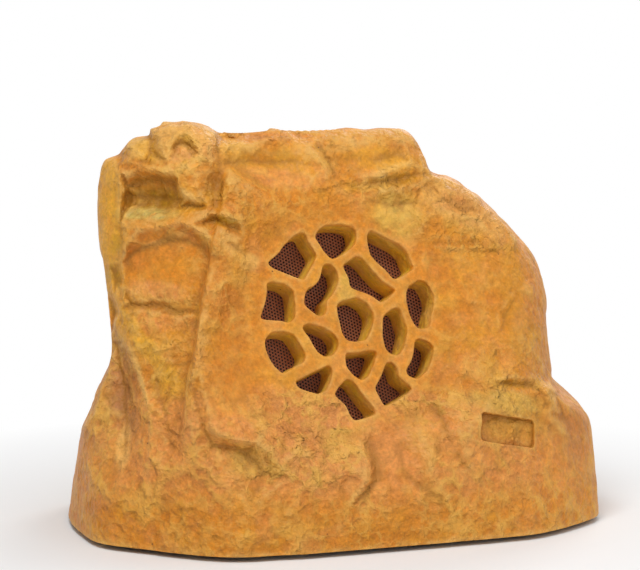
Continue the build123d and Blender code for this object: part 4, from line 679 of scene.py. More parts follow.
def rough_points(directions):
    """Points of the skin with its folds and its roughness, away from the lattice."""
    points = plain_points(directions, 0.0)
    column, row, front = picture_facts(points)
    rise = fold_rise(column, row)
    around = np.radians((0.0, 90.0, 180.0, 270.0))
    for turn in around:
        rise = rise + fold_rise(column + FOLD_BLUR * math.cos(turn), row + FOLD_BLUR * math.sin(turn))
    rough = skin_roughness(column, row, front)
    height = rise / (1.0 + len(around)) * front
    for x, y, half_width, half_height, softness, depth in DIPS.values():
        height -= depth * patch_share(column, row, x, y, half_width, half_height, 0.0, softness)
    height += rough * sum(high * chipped(points, size, seed) for high, size, seed in SKIN_CHIPS)
    height += np.clip(rough - FINE_FROM, 0.0, 1.0) * FINE_CHIPS[0] * chipped(points, *FINE_CHIPS[1:])
    swell = SWELL[0] * wander(points, *SWELL[1:])
    height += rough * RUGGED[0] * rugged(points, RUGGED[1], OCTAVES, RUGGED[2]) + swell
    height += (1.0 - front) * sum(high * chipped(points, size, seed) for high, size, seed in BACK_CHIPS)
    towards_view = ease(*VIEW_LEAN, plain_normals(directions) @ VIEW_FRONT) * front
    lean = unit(directions + towards_view[:, None] * (VIEW_FRONT - directions))
    return points + lean * height[:, None]


def outer_points(directions):
    """Points of the finished skin, which is flat around the lattice."""
    across, up, ahead = lattice_place(directions, GRILLE_REACH)
    flat = (1.0 - ease(FLAT_RADIUS, FLAT_RADIUS + FLAT_FADE, np.hypot(across, up))) * (ahead > 0.0)
    points = HEART + directions * (GRILLE_REACH / np.where(ahead > 0.0, ahead, 1.0))[:, None]
    free = flat < 1.0
    if free.any():
        points[free] += (1.0 - flat[free])[:, None] * (rough_points(directions[free]) - points[free])
    return points


def lattice_place(directions, reach):
    """Where a ray meets a plane at a reach before the heart, across and up; how far it looks ahead, or -1."""
    ahead = directions @ LATTICE_NORMAL
    safe = np.where(ahead > SHALLOW, ahead, SHALLOW)
    across = directions @ LATTICE_SIDE * reach / safe - GRILLE_ACROSS
    up = directions @ LATTICE_RISE * reach / safe - GRILLE_UP
    return across, up, np.where(ahead > SHALLOW, ahead, -1.0)


class Place:
    """A flat place on the rock that something is cut into, with its sides across and up."""

    def __init__(self, middle, side, rise):
        self.middle = middle
        self.side = side / np.linalg.norm(side)
        self.normal = np.cross(self.side, rise)
        self.normal = self.normal / np.linalg.norm(self.normal)
        self.rise = np.cross(self.normal, self.side)

    def spots(self, points):
        """Points as places across and up, seen straight along the normal."""
        offset = points - self.middle
        return np.stack([offset @ self.side, offset @ self.rise], axis=1)

    def points(self, spots, height):
        """Points over places across and up."""
        return self.middle + self.side * spots[:, :1] + self.rise * spots[:, 1:] + self.normal * height

    def skin(self, spots):
        """Points of the skin straight in front of places across and up."""
        aims = spots
        for _ in range(SEARCH_ROUNDS):
            points = outer_points(unit(self.points(aims, 0.0) - HEART))
            aims = aims + spots - self.spots(points)
        return points


def hollow_reach(directions):
    """Distance from the heart to the inside of the wall, cut off at the disc behind the lattice."""
    column, row, front = picture_facts(plain_points(directions, 0.0))
    sink = HOLLOW_SINK * patch_share(column, row, *HOLLOW_PATCH) * front
    reach = mass_reach(directions, INNER_WALL) - sink
    across, up, ahead = lattice_place(directions, SEAT_REACH)
    behind = (ahead > 0.0) & (np.hypot(across, up) < BOSS_RADIUS)
    return np.where(behind, np.minimum(reach, SEAT_REACH / np.where(behind, ahead, 1.0)), reach)


def level_elevations(azimuths, height, inset):
    """Elevation at which the plain form passes a height above the ground, at each azimuth."""
    low = np.full(len(azimuths), LEVEL_SEARCH[0])
    high = np.full(len(azimuths), LEVEL_SEARCH[1])
    for _ in range(LEVEL_ROUNDS):
        middle = (low + high) / 2.0
        directions = facing(azimuths, middle)
        below = directions[:, 2] * mass_reach(directions, inset) + HEART_HEIGHT < height
        low = np.where(below, middle, low)
        high = np.where(below, high, middle)
    return high


def level_ring(azimuths, height, inset):
    """Outline of the rock at one height."""
    ring = plain_points(facing(azimuths, level_elevations(azimuths, height, inset)), inset)
    ring[:, 2] = height
    return ring


class Skin:
    """Points and faces of a mesh while it is put together."""

    def __init__(self):
        self.points = []
        self.faces = []

    def add(self, points):
        """Takes new points, and gives their numbers."""
        first = len(self.points)
        self.points.extend(np.asarray(points).tolist())
        return np.arange(first, first + len(points))

    def at(self, numbers):
        """Points with these numbers."""
        return np.array([self.points[k] for k in numbers])

    def net(self, numbers, triangles):
        """Faces from triangles between numbered points."""
        for triangle in triangles:
            self.faces.append(tuple(int(numbers[v]) for v in triangle))

    def cap(self, ring, middle):
        """Faces from a closed ring to a point in its middle."""
        for k in range(len(ring)):
            self.faces.append((ring[k], ring[(k + 1) % len(ring)], middle))

    def band(self, lower, upper):
        """Faces between two closed rings of as many points, outward when the rings run against the clock."""
        for k in range(len(lower)):
            after = (k + 1) % len(lower)
            self.faces.append((lower[k], lower[after], upper[after], upper[k]))


def inside(places, outline):
    """Which places lie inside a closed outline."""
    x = places[:, 0]
    y = places[:, 1]
    result = np.zeros(len(places), bool)
    for (x0, y0), (x1, y1) in zip(outline, np.roll(outline, -1, axis=0)):
        if y0 == y1:
            continue
        crosses = (y0 > y) != (y1 > y)
        result ^= crosses & (x < (x1 - x0) * (y - y0) / (y1 - y0) + x0)
    return result


def nearest_gap(places, others):
    """Distance from each place to the nearest of the others."""
    gaps = np.full(len(places), np.inf)
    for start in range(0, len(others), GAP_BLOCK):
        block = others[start:start + GAP_BLOCK]
        gaps = np.minimum(gaps, np.linalg.norm(places[:, None] - block[None], axis=2).min(1))
    return gaps


def circle(radius, count):
    """Places evenly around a circle."""
    angles = np.arange(count) * 2.0 * math.pi / count
    return radius * np.stack([np.cos(angles), np.sin(angles)], axis=1)


def ring_edges(first, count):
    """Pairs of neighbours around a closed ring of numbered points."""
    return [(first + k, first + (k + 1) % count) for k in range(count)]


def honeycomb(radius, pitch, turn):
    """Places of a honeycomb pattern inside a circle."""
    count = int(radius / pitch) + 2
    steps = np.arange(-count, count + 1)
    rows = int(count * ROW_MARGIN)
    i, j = np.meshgrid(steps, np.arange(-rows, rows + 1))
    x, y = turned((i + 0.5 * (j % 2)) * pitch, j * pitch * math.sqrt(0.75), -turn)
    places = np.stack([x.ravel(), y.ravel()], axis=1)
    return places[np.hypot(places[:, 0], places[:, 1]) < radius]


def spots_within(outline, lines, pitch):
    """Places of a honeycomb inside an outline, with room to lines of points."""
    spots = honeycomb(np.linalg.norm(outline, axis=1).max(), pitch, 0.0)
    spots = spots[inside(spots, outline)]
    return spots[nearest_gap(spots, lines) > SPOT_GAP * pitch]


def triangles_between(outer, holes, extra):
    """Triangles between an outer outline and holes, over their points in order and then extra places."""
    loops = [outer] + holes
    edges = []
    first = 0
    for loop in loops:
        edges += ring_edges(first, len(loop))
        first += len(loop)
    places = np.concatenate(loops + [extra])
    found = delaunay_2d_cdt([Vector(p) for p in places], edges, [], 0, MERGE, True)
    origin = [ids[0] if ids else -1 for ids in found[3]]
    triangles = np.array([[origin[v] for v in face] for face in found[2]])
    triangles = triangles[(triangles >= 0).all(1)]
    middles = places[triangles].mean(1)
    keep = inside(middles, outer)
    for hole in holes:
        keep &= ~inside(middles, hole)
    return triangles[keep]


def closed_loops(following):
    """Closed loops of names, from a table that gives the name after each."""
    loops = []
    while following:
        start, place = following.popitem()
        loop = [start]
        while place != start:
            loop.append(place)
            place = following.pop(place)
        loops.append(np.array(loop))
    return loops


def cell_outlines():
    """Outlines of the lattice cells across and up, read from the CAD shell at the sheet's seat."""
    mesh = nodes["rock_shell"].data
    points = np.array([v.co for v in mesh.vertices]) / MM - SHEET_MIDDLE
    depth = points @ LATTICE_NORMAL - SHEET_THICKNESS / 2.0
    places = np.stack([points @ LATTICE_SIDE, points @ LATTICE_RISE], axis=1)
    following = {}
    for face in mesh.polygons:
        corners = list(face.vertices)
        if np.abs(depth[corners]).max() > SEAT_TOLERANCE:
            continue
        keys = [tuple(np.round(places[v], 1)) for v in corners]
        for a, b in zip(keys, keys[1:] + keys[:1]):
            if a == b:
                continue
            if a in following.get(b, []):
                following[b].remove(a)
            else:
                following.setdefault(a, []).append(b)
    loops = closed_loops({a: b[0] for a, b in following.items() if b})
    return [loop for loop in loops if CELL_SIZES[0] < np.ptp(loop, axis=0).max() < CELL_SIZES[1]]


def evenly(loop, step):
    """A closed outline with evenly spaced points, against the clock."""
    area = np.sum(loop[:, 0] * np.roll(loop[:, 1], -1) - np.roll(loop[:, 0], -1) * loop[:, 1])
    if area < 0.0:
        loop = loop[::-1]
    closed = np.concatenate([loop, loop[:1]])
    lengths = np.concatenate([[0.0], np.cumsum(np.linalg.norm(np.diff(closed, axis=0), axis=1))])
    count = int(lengths[-1] / step)
    marks = np.arange(count) * lengths[-1] / count
    return np.stack([np.interp(marks, lengths, closed[:, k]) for k in (0, 1)], axis=1)


def smoothed(loop, rounds):
    """Values around a closed outline, evened out with their neighbours."""
    for _ in range(rounds):
        loop = (np.roll(loop, 1, axis=0) + 2.0 * loop + np.roll(loop, -1, axis=0)) / 4.0
    return loop


def outward(loop):
    """Directions away from the inside of an outline that runs against the clock."""
    along = np.roll(loop, -1, axis=0) - np.roll(loop, 1, axis=0)
    return unit(np.stack([along[:, 1], -along[:, 0]], axis=1))


def opened_grid(skin, grid, out):
    """Adds a grid's faces, less those that touch a marked point, and gives the openings' edges."""
    rows, columns = grid.shape
    edges = {}
    for r in range(rows - 1):
        for c in range(columns):
            d = (c + 1) % columns
            corners = [(r, c), (r, d), (r + 1, d), (r + 1, c)]
            face = [int(grid[k]) for k in corners]
            if not any(out[k] for k in corners):
                skin.faces.append(tuple(face))
                continue
            for a, b in zip(face, face[1:] + face[:1]):
                if (b, a) in edges:
                    del edges[(b, a)]
                else:
                    edges[(a, b)] = True
    return closed_loops({a: b for a, b in edges})


def nearest_loop(skin, loops, middle):
    """The loop of points that lies around a middle."""
    def gap(loop):
        return np.linalg.norm(skin.at(loop) - middle, axis=1).mean()

    return min(loops, key=gap)


def front_around(skin, place, edge, fronts, pitch):
    """Skin between an opening's edge and the front rings of its holes; gives the rings' numbers."""
    edge_spots = place.spots(skin.at(edge))
    spots = spots_within(edge_spots, np.concatenate([edge_spots] + fronts), pitch)
    for loop in fronts:
        spots = spots[~inside(spots, loop)]
    corners = [edge]
    for loop in fronts + [spots]:
        corners.append(skin.add(place.skin(loop)))
    skin.net(np.concatenate(corners), triangles_between(edge_spots, fronts, spots))
    return corners[1:-1]


def walls(skin, place, front, loop, radius, depth, draft):
    """Rounded edge and walls of a hole, down to its floor; gives the lowest ring's numbers and places."""
    normals = outward(loop)
    steps = []
    for angle in EDGE_TURNS:
        turn = math.radians(angle)
        steps.append((loop + normals * radius * (1.0 - math.sin(turn)), radius * (1.0 - math.cos(turn)), 0.0))
    for share in WALL_SHARES:
        steps.append((loop - normals * draft * share, radius, share))
    upper = front
    for ring, sink, share in steps:
        floor = place.points(ring, -depth)
        fall = (place.skin(ring) - floor) @ place.normal
        lower = skin.add(floor + place.normal * ((fall[:, None] - sink) * (1.0 - share)))
        skin.band(upper, lower)
        upper = lower
    return upper, ring


def recess(skin, place, edge, loop, radius, depth):
    """A shallow recess with a flat floor, cut into the skin inside an opening."""
    radius = np.full((len(loop), 1), radius)
    front = front_around(skin, place, edge, [loop + outward(loop) * radius], RECESS_PITCH)[0]
    rim, ring = walls(skin, place, front, loop, radius, depth, RECESS_DRAFT)
    spots = spots_within(ring, ring, RECESS_PITCH)
    numbers = np.concatenate([rim, skin.add(place.points(spots, -depth))])
    skin.net(numbers, triangles_between(ring, [], spots))


def rounded_rectangle(width, height, corner):
    """Outline with round corners, against the clock."""
    points = []
    for turn, x, y in ((0, 1, 1), (90, -1, 1), (180, -1, -1), (270, 1, -1)):
        for angle in np.radians(turn + CORNER_TURNS):
            points.append((x * (width / 2.0 - corner) + corner * math.cos(angle),
                           y * (height / 2.0 - corner) + corner * math.sin(angle)))
    return np.array(points)


def badge_place():
    """Where the badge recess lies, with the slope of the plain form around it."""
    turns = np.array([(0, 0), (-1, 0), (1, 0), (0, -1), (0, 1)]) * BADGE_STEP
    directions = facing(BADGE_AZIMUTH + turns[:, 0], BADGE_ELEVATION + turns[:, 1])
    middle, left, right, low, high = plain_points(directions, 0.0)
    return Place(middle, right - left, high - low)


def gland_place():
    """Where the gland's land lies: the back of its washer."""
    low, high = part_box("gland_washer")
    middle = np.array((low + high) / 2.0) / MM
    middle[1] = low[1] / MM
    return Place(middle, np.array([-1.0, 0.0, 0.0]), np.array([0.0, 0.0, 1.0]))


def spaced(values, weights, count):
    """Values between which equal shares of the weights lie."""
    sums = np.concatenate([[0.0], np.cumsum(weights)])
    return np.interp(np.arange(count) * sums[-1] / count, sums, values)


def column_azimuths():
    """Azimuths of the mesh's columns, close together at the front."""
    turns = np.linspace(0.0, 360.0, FINE_TURNS + 1)
    directions = facing(VIEW_AZIMUTH + turns, 0.0)
    points = directions * mass_reach(directions, 0.0)[:, None]
    lengths = np.linalg.norm(np.diff(points, axis=0), axis=1)
    front = ease(*BACK_FADE, np.cos(np.radians(turns[1:])))
    signed = (turns[1:] + 180.0) % 360.0 - 180.0
    left = ease(LEFT_TURNS[0], LEFT_TURNS[1], signed) - ease(LEFT_TURNS[2], LEFT_TURNS[3], signed)
    closeness = (BACK_SHARE + (1.0 - BACK_SHARE) * front) * (1.0 + (LEFT_SHARE - 1.0) * left)
    return VIEW_AZIMUTH + spaced(turns, lengths * closeness, COLUMNS)


def row_elevations(azimuths, starts):
    """Elevations of the mesh's rows in each column, evenly up the side and further apart on top."""
    shares = np.linspace(0.0, 1.0, FINE_ROWS + 1)
    fine = starts[:, None] + (90.0 - starts[:, None]) * shares
    directions = facing(np.repeat(azimuths, FINE_ROWS + 1), fine.ravel())
    points = (directions * mass_reach(directions, 0.0)[:, None]).reshape(len(azimuths), FINE_ROWS + 1, 3)
    lengths = np.linalg.norm(np.diff(points, axis=1), axis=2)
    lengths *= 1.0 - (1.0 - TOP_SHARE) * ease(*TOP_START, fine[:, 1:])
    return np.stack([spaced(fine[k], lengths[k], ROWS) for k in range(len(azimuths))], axis=1)


def rock():
    """The rock's skin with its lattice, its rim and the inside of its wall, as one closed mesh."""
    skin = Skin()
    azimuths = column_azimuths()
    elevations = row_elevations(azimuths, level_elevations(azimuths, RIM_HEIGHT, 0.0))
    directions = facing(np.broadcast_to(azimuths, elevations.shape).ravel(), elevations.ravel())
    points = outer_points(directions)
    foot = ease(RIM_HEIGHT, RIM_HEIGHT + FOOT_FADE, points[:, 2])
    points[:COLUMNS, 2] = RIM_HEIGHT
    points[:, 2] = np.maximum(points[:, 2], RIM_HEIGHT + FOOT_LIFT * foot)
    points = np.clip(points, BOX_LOW, BOX_HIGH)
    grid = skin.add(points).reshape(ROWS, COLUMNS)

    # Openings of the skin for the lattice, the badge recess and the gland's land
    across, up, ahead = lattice_place(directions, GRILLE_REACH)
    out = (np.hypot(across, up) < LATTICE_RADIUS) & (ahead > 0.0)
    lattice = Place(LATTICE_MIDDLE, LATTICE_SIDE, LATTICE_RISE)
    badge = badge_place()
    badge_spots = np.abs(badge.spots(points)) - [BADGE_WIDTH / 2.0, BADGE_HEIGHT / 2.0]
    out |= (badge_spots.max(1) < RECESS_MARGIN) & ((points - badge.middle) @ badge.normal > -BADGE_HEIGHT)
    land = gland_place()
    land_gaps = np.linalg.norm(land.spots(points), axis=1)
    out |= (land_gaps < LAND_RADIUS + RECESS_MARGIN) & ((points - land.middle) @ land.normal > -LAND_RADIUS)
    edges = opened_grid(skin, grid, out.reshape(ROWS, COLUMNS))
    straight_up = np.array([[0.0, 0.0, 1.0]])
    skin.cap(grid[-1], skin.add(outer_points(straight_up))[0])
    badge_loop = evenly(rounded_rectangle(BADGE_WIDTH, BADGE_HEIGHT, BADGE_CORNER), RECESS_STEP)
    recess(skin, badge, nearest_loop(skin, edges, badge.middle), badge_loop, BADGE_EDGE, BADGE_DEPTH)
    land_loop = evenly(rounded_rectangle(2.0 * LAND_RADIUS, 2.0 * LAND_RADIUS, LAND_RADIUS), RECESS_STEP)
    recess(skin, land, nearest_loop(skin, edges, land.middle), land_loop, LAND_EDGE, 0.0)

    # Cells of the lattice, with walls down to the sheet
    loops = [smoothed(evenly(loop, CELL_STEP), CELL_SMOOTHING) for loop in cell_outlines()]
    radii = []
    for k, loop in enumerate(loops):
        others = np.concatenate([other for n, other in enumerate(loops) if n != k])
        radius = np.minimum(CELL_EDGE, EDGE_SHARE * nearest_gap(loop, others))
        radii.append(smoothed(radius[:, None], EDGE_SMOOTHING))
    fronts = [loop + outward(loop) * radius for loop, radius in zip(loops, radii)]
    fronts = front_around(skin, lattice, nearest_loop(skin, edges, lattice.middle), fronts, LATTICE_PITCH)
    bottoms = []
    bottom_loops = []
    for front, loop, radius in zip(fronts, loops, radii):
        numbers, ring = walls(skin, lattice, front, loop, radius, CELL_DEPTH, CELL_DRAFT)
        bottoms.append(numbers)
        bottom_loops.append(ring)

    # Rim, pocket of the base plate, and the inside of the wall
    pocket_low = skin.add(level_ring(azimuths, RIM_HEIGHT, POCKET_WALL))
    pocket_high = skin.add(skin.at(pocket_low) + [0.0, 0.0, SEAT_HEIGHT - RIM_HEIGHT])
    mouth = skin.add(level_ring(azimuths, SEAT_HEIGHT, SEAT_WALL))
    skin.band(pocket_low, grid[0])
    skin.band(pocket_high, pocket_low)
    skin.band(mouth, pocket_high)
    hollow_starts = level_elevations(azimuths, SEAT_HEIGHT + HOLLOW_START, WALL)
    hollow_shares = np.arange(HOLLOW_ROWS) / HOLLOW_ROWS
    hollow_elevations = hollow_starts[None] + (90.0 - hollow_starts[None]) * hollow_shares[:, None]
    hollow_azimuths = np.broadcast_to(azimuths, hollow_elevations.shape)
    hollow_directions = facing(hollow_azimuths.ravel(), hollow_elevations.ravel())
    hollow = skin.add(HEART + hollow_directions * hollow_reach(hollow_directions)[:, None])
    hollow_grid = hollow.reshape(HOLLOW_ROWS, COLUMNS)
    inner_faces = len(skin.faces)
    across, up, ahead = lattice_place(hollow_directions, SEAT_REACH)
    seat_places = np.stack([across, up], axis=1)
    cut = (np.hypot(across, up) < LATTICE_RADIUS) & (ahead > 0.0)
    inner_edge = opened_grid(skin, hollow_grid, cut.reshape(HOLLOW_ROWS, COLUMNS))[0]
    inner_places = seat_places[inner_edge - hollow[0]]
    no_spots = np.zeros((0, 2))
    skin.net(np.concatenate([inner_edge] + bottoms), triangles_between(inner_places, bottom_loops, no_spots))
    skin.cap(hollow_grid[-1], skin.add(HEART + straight_up * hollow_reach(straight_up)[:, None])[0])
    skin.faces[inner_faces:] = [face[::-1] for face in skin.faces[inner_faces:]]
    skin.band(hollow_grid[0], mouth)
    return skin


def placed(name, data):
    """A new object in the scene."""
    new_object = bpy.data.objects.new(name, data)
    bpy.context.scene.collection.objects.link(new_object)
    return new_object


def made(name, points, faces, smooth):
    """A new object from points in millimetres and faces."""
    mesh = bpy.data.meshes.new(name)
    mesh.from_pydata((np.asarray(points) * MM).tolist(), [], faces)
    mesh.polygons.foreach_set("use_smooth", [smooth] * len(mesh.polygons))
    mesh.validate()
    mesh.update()
    return placed(name, mesh)


def neighbour_means(values, edges):
    """Mean of the values at the neighbours of each point."""
    total = np.zeros_like(values)
    count = np.zeros(len(values))
    np.add.at(total, edges[:, 0], values[edges[:, 1]])
    np.add.at(total, edges[:, 1], values[edges[:, 0]])
    np.add.at(count, edges[:, 0], 1.0)
    np.add.at(count, edges[:, 1], 1.0)
    return total / np.maximum(count, 1.0).reshape(-1, *[1] * (values.ndim - 1))


def paint(rock_object):
    """Paint of each point: broad patches, some of them painted light and shade; how far it bulges out or dips
    in, which gives pale paint with painted highlight on crests and painted shade in hollows; and how rough it
    is.
    """
    mesh = rock_object.data
    points = np.array([v.co for v in mesh.vertices]) / MM
    normals = np.array([v.vector for v in mesh.vertex_normals])
    edges = np.array([e.vertices for e in mesh.edges])
    bends = []
    means = points
    for rounds in (FINE_ROUNDS, BROAD_ROUNDS):
        for _ in range(rounds):
            means = neighbour_means(means, edges)
        bends.append(((points - means) * normals).sum(1))
    column, row, front = picture_facts(points)
    colour = np.tile(np.array(PAINT[BASE_PAINT]), (len(points), 1))
    for name, (size, seed, sign, low, high, strength) in MOTTLING.items():
        share = strength * ease(low, high, sign * rugged(points, size, OCTAVES, seed))
        colour += MOTTLE_STRENGTH * share[:, None] * (np.array(PAINT[name]) - colour)
    ragged = RAGGED[0] * rugged(points, *RAGGED[1:])
    # patches of paint, some of them painted light and painted shade
    for x, y, half_width, half_height, turn, name, strength in TINTS.values():
        share = patch_share(column, row, x, y, half_width, half_height, turn, TINT_SOFTNESS)
        share = np.clip(share * (1.0 + ragged), 0.0, 1.0) * front * strength
        colour += share[:, None] * (np.array(PAINT[name]) - colour)
    offset = points - LATTICE_MIDDLE
    depth = -(offset @ LATTICE_NORMAL)
    wall = ease(*WALL_FADE, depth) * (depth < CELL_DEPTH + SHEET_THICKNESS)
    wall *= np.hypot(offset @ LATTICE_SIDE, offset @ LATTICE_RISE) < LATTICE_RADIUS
    colour += WALL_STRENGTH * wall[:, None] * (np.array(PAINT[WALL_PAINT]) - colour)
    # pale paint and painted highlight on convex bends
    crest_and_highlight = np.clip(bends[0] * CREST_AND_HIGHLIGHT[0] + bends[1] * CREST_AND_HIGHLIGHT[1], 0.0, CREST_AND_HIGHLIGHT[2])
    # painted shade in concave bends, left off the lattice walls
    pit_shade = np.clip(-bends[0] * PIT_SHADE[0] - bends[1] * PIT_SHADE[1], 0.0, PIT_SHADE[2]) * (1.0 - wall)
    colour_layer = mesh.color_attributes.new("paint", "FLOAT_COLOR", "POINT")
    rgba = np.concatenate([colour, np.ones((len(points), 1))], axis=1)
    colour_layer.data.foreach_set("color", rgba.astype(np.float32).ravel())
    for name, values in (("crest_and_highlight", crest_and_highlight), ("pit_shade", pit_shade), ("rough", skin_roughness(column, row, front))):
        layer = mesh.attributes.new(name, "FLOAT", "POINT")
        layer.data.foreach_set("value", values.astype(np.float32))


def perforated_sheet():
    """Sheet with its fine round holes, behind the lattice."""
    hole = circle(HOLE_RADIUS, HOLE_SIDES)
    middles = honeycomb(HOLE_FIELD, HOLE_PITCH, HOLE_TURN)
    places = np.concatenate([circle(SHEET_RADIUS, SHEET_SIDES)] + [m + hole for m in middles])
    edges = ring_edges(0, SHEET_SIDES)
    for n in range(len(middles)):
        edges += ring_edges(SHEET_SIDES + n * HOLE_SIDES, HOLE_SIDES)
    found = delaunay_2d_cdt([Vector(p) for p in places], edges, [], 0, MERGE, True)
    origin = np.array([ids[0] if ids else -1 for ids in found[3]])
    triangles = origin[np.array(found[2])]
    owner = np.where(triangles < SHEET_SIDES, -1, (triangles - SHEET_SIDES) // HOLE_SIDES)
    in_hole = (owner[:, 0] >= 0) & (owner[:, 0] == owner[:, 1]) & (owner[:, 1] == owner[:, 2])
    triangles = triangles[~in_hole]
    flat = SHEET_MIDDLE + LATTICE_SIDE * places[:, :1] + LATTICE_RISE * places[:, 1:]
    half = LATTICE_NORMAL * SHEET_THICKNESS / 2.0
    room = LATTICE_NORMAL * CONE_ROOM
    back = len(places)
    faces = triangles.tolist() + (triangles[:, ::-1] + back).tolist()
    faces += [(a, a + back, b + back, b) for a, b in edges]
    return made("perforated_sheet", np.concatenate([flat + half, flat - half + room]), faces, False)


# Materials
def adder(tree):
    """A helper that adds nodes to a tree and links or sets their inputs."""
    def add(kind, inputs=None, **settings):
        node = tree.nodes.new(kind)
        for key, value in settings.items():
            setattr(node, key, value)
        for key, value in (inputs or {}).items():
            if isinstance(value, bpy.types.NodeSocket):
                tree.links.new(value, node.inputs[key])
            else:
                node.inputs[key].default_value = value
        return node

    return add


def material(name):
    """A new material with its node tree, its shader and a helper that adds nodes."""
    new_material = bpy.data.materials.new(name)
    new_material.use_nodes = True
    tree = new_material.node_tree
    return new_material, tree, tree.nodes["Principled BSDF"], adder(tree)


def ramp_between(add, value, low, high):
    """Value spread from 0 at low to 1 at high."""
    node = add("ShaderNodeMapRange", {"Value": value, "From Min": low, "From Max": high}, clamp=True)
    return node.outputs["Result"]


def mixed(add, factor, first, second, blend="MIX"):
    """Colours mixed by a factor."""
    node = add("ShaderNodeMix", data_type="RGBA", blend_type=blend)
    tree = node.id_data
    for key, value in (("Factor", factor), ("A", first), ("B", second)):
        socket = [s for s in node.inputs if s.name == key and (key == "Factor" or s.type == "RGBA")][0]
        if isinstance(value, bpy.types.NodeSocket):
            tree.links.new(value, socket)
        else:
            socket.default_value = value
    return [s for s in node.outputs if s.type == "RGBA"][0]


def cloud(add, place, scale, detail, roughness=0.5):
    """Noise between 0 and 1 with lumps of a scale per metre."""
    inputs = {"Vector": place, "Scale": scale, "Detail": detail, "Roughness": roughness}
    return add("ShaderNodeTexNoise", inputs).outputs["Fac"]


def spread(add, value, low, high, start=0.0, end=1.0):
    """Value between start and end spread from low to high."""
    inputs = {"Value": value, "From Min": start, "From Max": end, "To Min": low, "To Max": high}
    return add("ShaderNodeMapRange", inputs).outputs["Result"]


def seen(add):
    """1 for rays from the camera, from mirrors and through glass, and 0 for light."""
    path = add("ShaderNodeLightPath")
    largest = path.outputs["Is Camera Ray"]
    for name in ("Is Glossy Ray", "Is Transmission Ray"):
        largest = add("ShaderNodeMath", {0: largest, 1: path.outputs[name]}, operation="MAXIMUM").outputs[0]
    return largest


def times(add, first, second):
    """Product of two values."""
    return add("ShaderNodeMath", {0: first, 1: second}, operation="MULTIPLY").outputs[0]


def dents(add, place, size):
    """Depths of the rounded dents between crisp ridges, of a size in metres, and a shade for each dent."""
    cells = add("ShaderNodeTexVoronoi", {"Vector": place, "Scale": 1.0 / size})
    shade = add("ShaderNodeSeparateColor", {"Color": cells.outputs["Color"]}).outputs["Green"]
    return times(add, cells.outputs["Distance"], cells.outputs["Distance"]), shade


def warped(add, place, scale, reach):
    """Places that wander by up to a reach in metres, so that edges between cells aren't straight."""
    noise_node = add("ShaderNodeTexNoise", {"Vector": place, "Scale": scale, "Detail": WARP_DETAIL})
    wander_inputs = {0: noise_node.outputs["Color"], 1: (0.5, 0.5, 0.5)}
    shift = add("ShaderNodeVectorMath", wander_inputs, operation="SUBTRACT").outputs["Vector"]
    inputs = {0: shift, 1: (reach, reach, reach), 2: place}
    return add("ShaderNodeVectorMath", inputs, operation="MULTIPLY_ADD").outputs["Vector"]


# Colours of the rock's paint besides its patches, among them painted shade and painted highlight
MOTTLE = (0.55, 0.18, 0.02, 1.0)
BLOTCH = (0.64, 0.31, 0.045, 1.0)
# dark brown that is also painted shade in the low places of the wrinkles
WASH_AND_SHADE = (0.36, 0.125, 0.012, 1.0)
# pale rubbed paint on ridges that is also painted highlight
WORN_AND_HIGHLIGHT = (0.78, 0.42, 0.075, 1.0)
# pale paint and painted highlight on crests
PALE_CREST_AND_HIGHLIGHT = (0.78, 0.46, 0.125, 1.0)
# painted shade in hollows and creases
PIT_SHADE_COLOUR = (0.32, 0.13, 0.014, 1.0)
# painted shade: dark spots that stand for tiny pits
SPOT = (0.10, 0.04, 0.012, 1.0)
CLOUDS = {                   # lumps per metre, detail and roughness of each noise, in the order of use
    "mottle": (90.0, 6.0, 0.6),
    "blotch": (38.0, 5.0, 0.55),
    "grain": (210.0, 4.0, 0.55),
    "speck": (430.0, 2.0, 0.5),
}
WRINKLES = (115.0, 5.0, 0.55)
WRINKLE_WARP = (80.0, 0.012)  # lumps per metre of a warp, and its reach in metres
BROAD_WARP = (60.0, 0.022)
SMALL_WARP = (150.0, 0.010)
WARP_DETAIL = 3.0
BROAD_DENT = 0.021           # sizes of the dents in metres
SMALL_DENT = 0.0080
SPOT_SCALE = 105.0
MOTTLE_RANGE = (0.52, 0.8)   # values of a noise between which a layer sets in
BLOTCH_RANGE = (0.56, 0.86)
PATCHY_RANGE = (0.36, 0.62)
WASH_AND_SHADE_RANGE = (0.44, 0.30)
CREST_AND_HIGHLIGHT_RANGE = (0.3, 0.7)
SPOT_RANGE = (0.09, 0.03)
LONE_RANGE = (0.93, 0.94)
SHADE_RANGE = (0.25, 0.75)
SHADES = ((0.84, 1.20), (0.86, 1.18), (0.97, 1.04), (0.97, 1.04))   # of grain, specks and both dents
WEAR_AND_HIGHLIGHT = ((0.55, 0.66, 0.4), (0.28, 0.42, 0.45), (0.30, 0.42, 0.5))   # ranges and strengths on ridges
WASH_AND_SHADE_STRENGTH = 0.25
PAINT_GLOSS = (0.36, 0.60)
PAINT_SPECULAR = 0.25
RELIEF = (0.0036, 0.0015, 0.0030, 0.0008)   # of both dents, wrinkles and grain, in metres


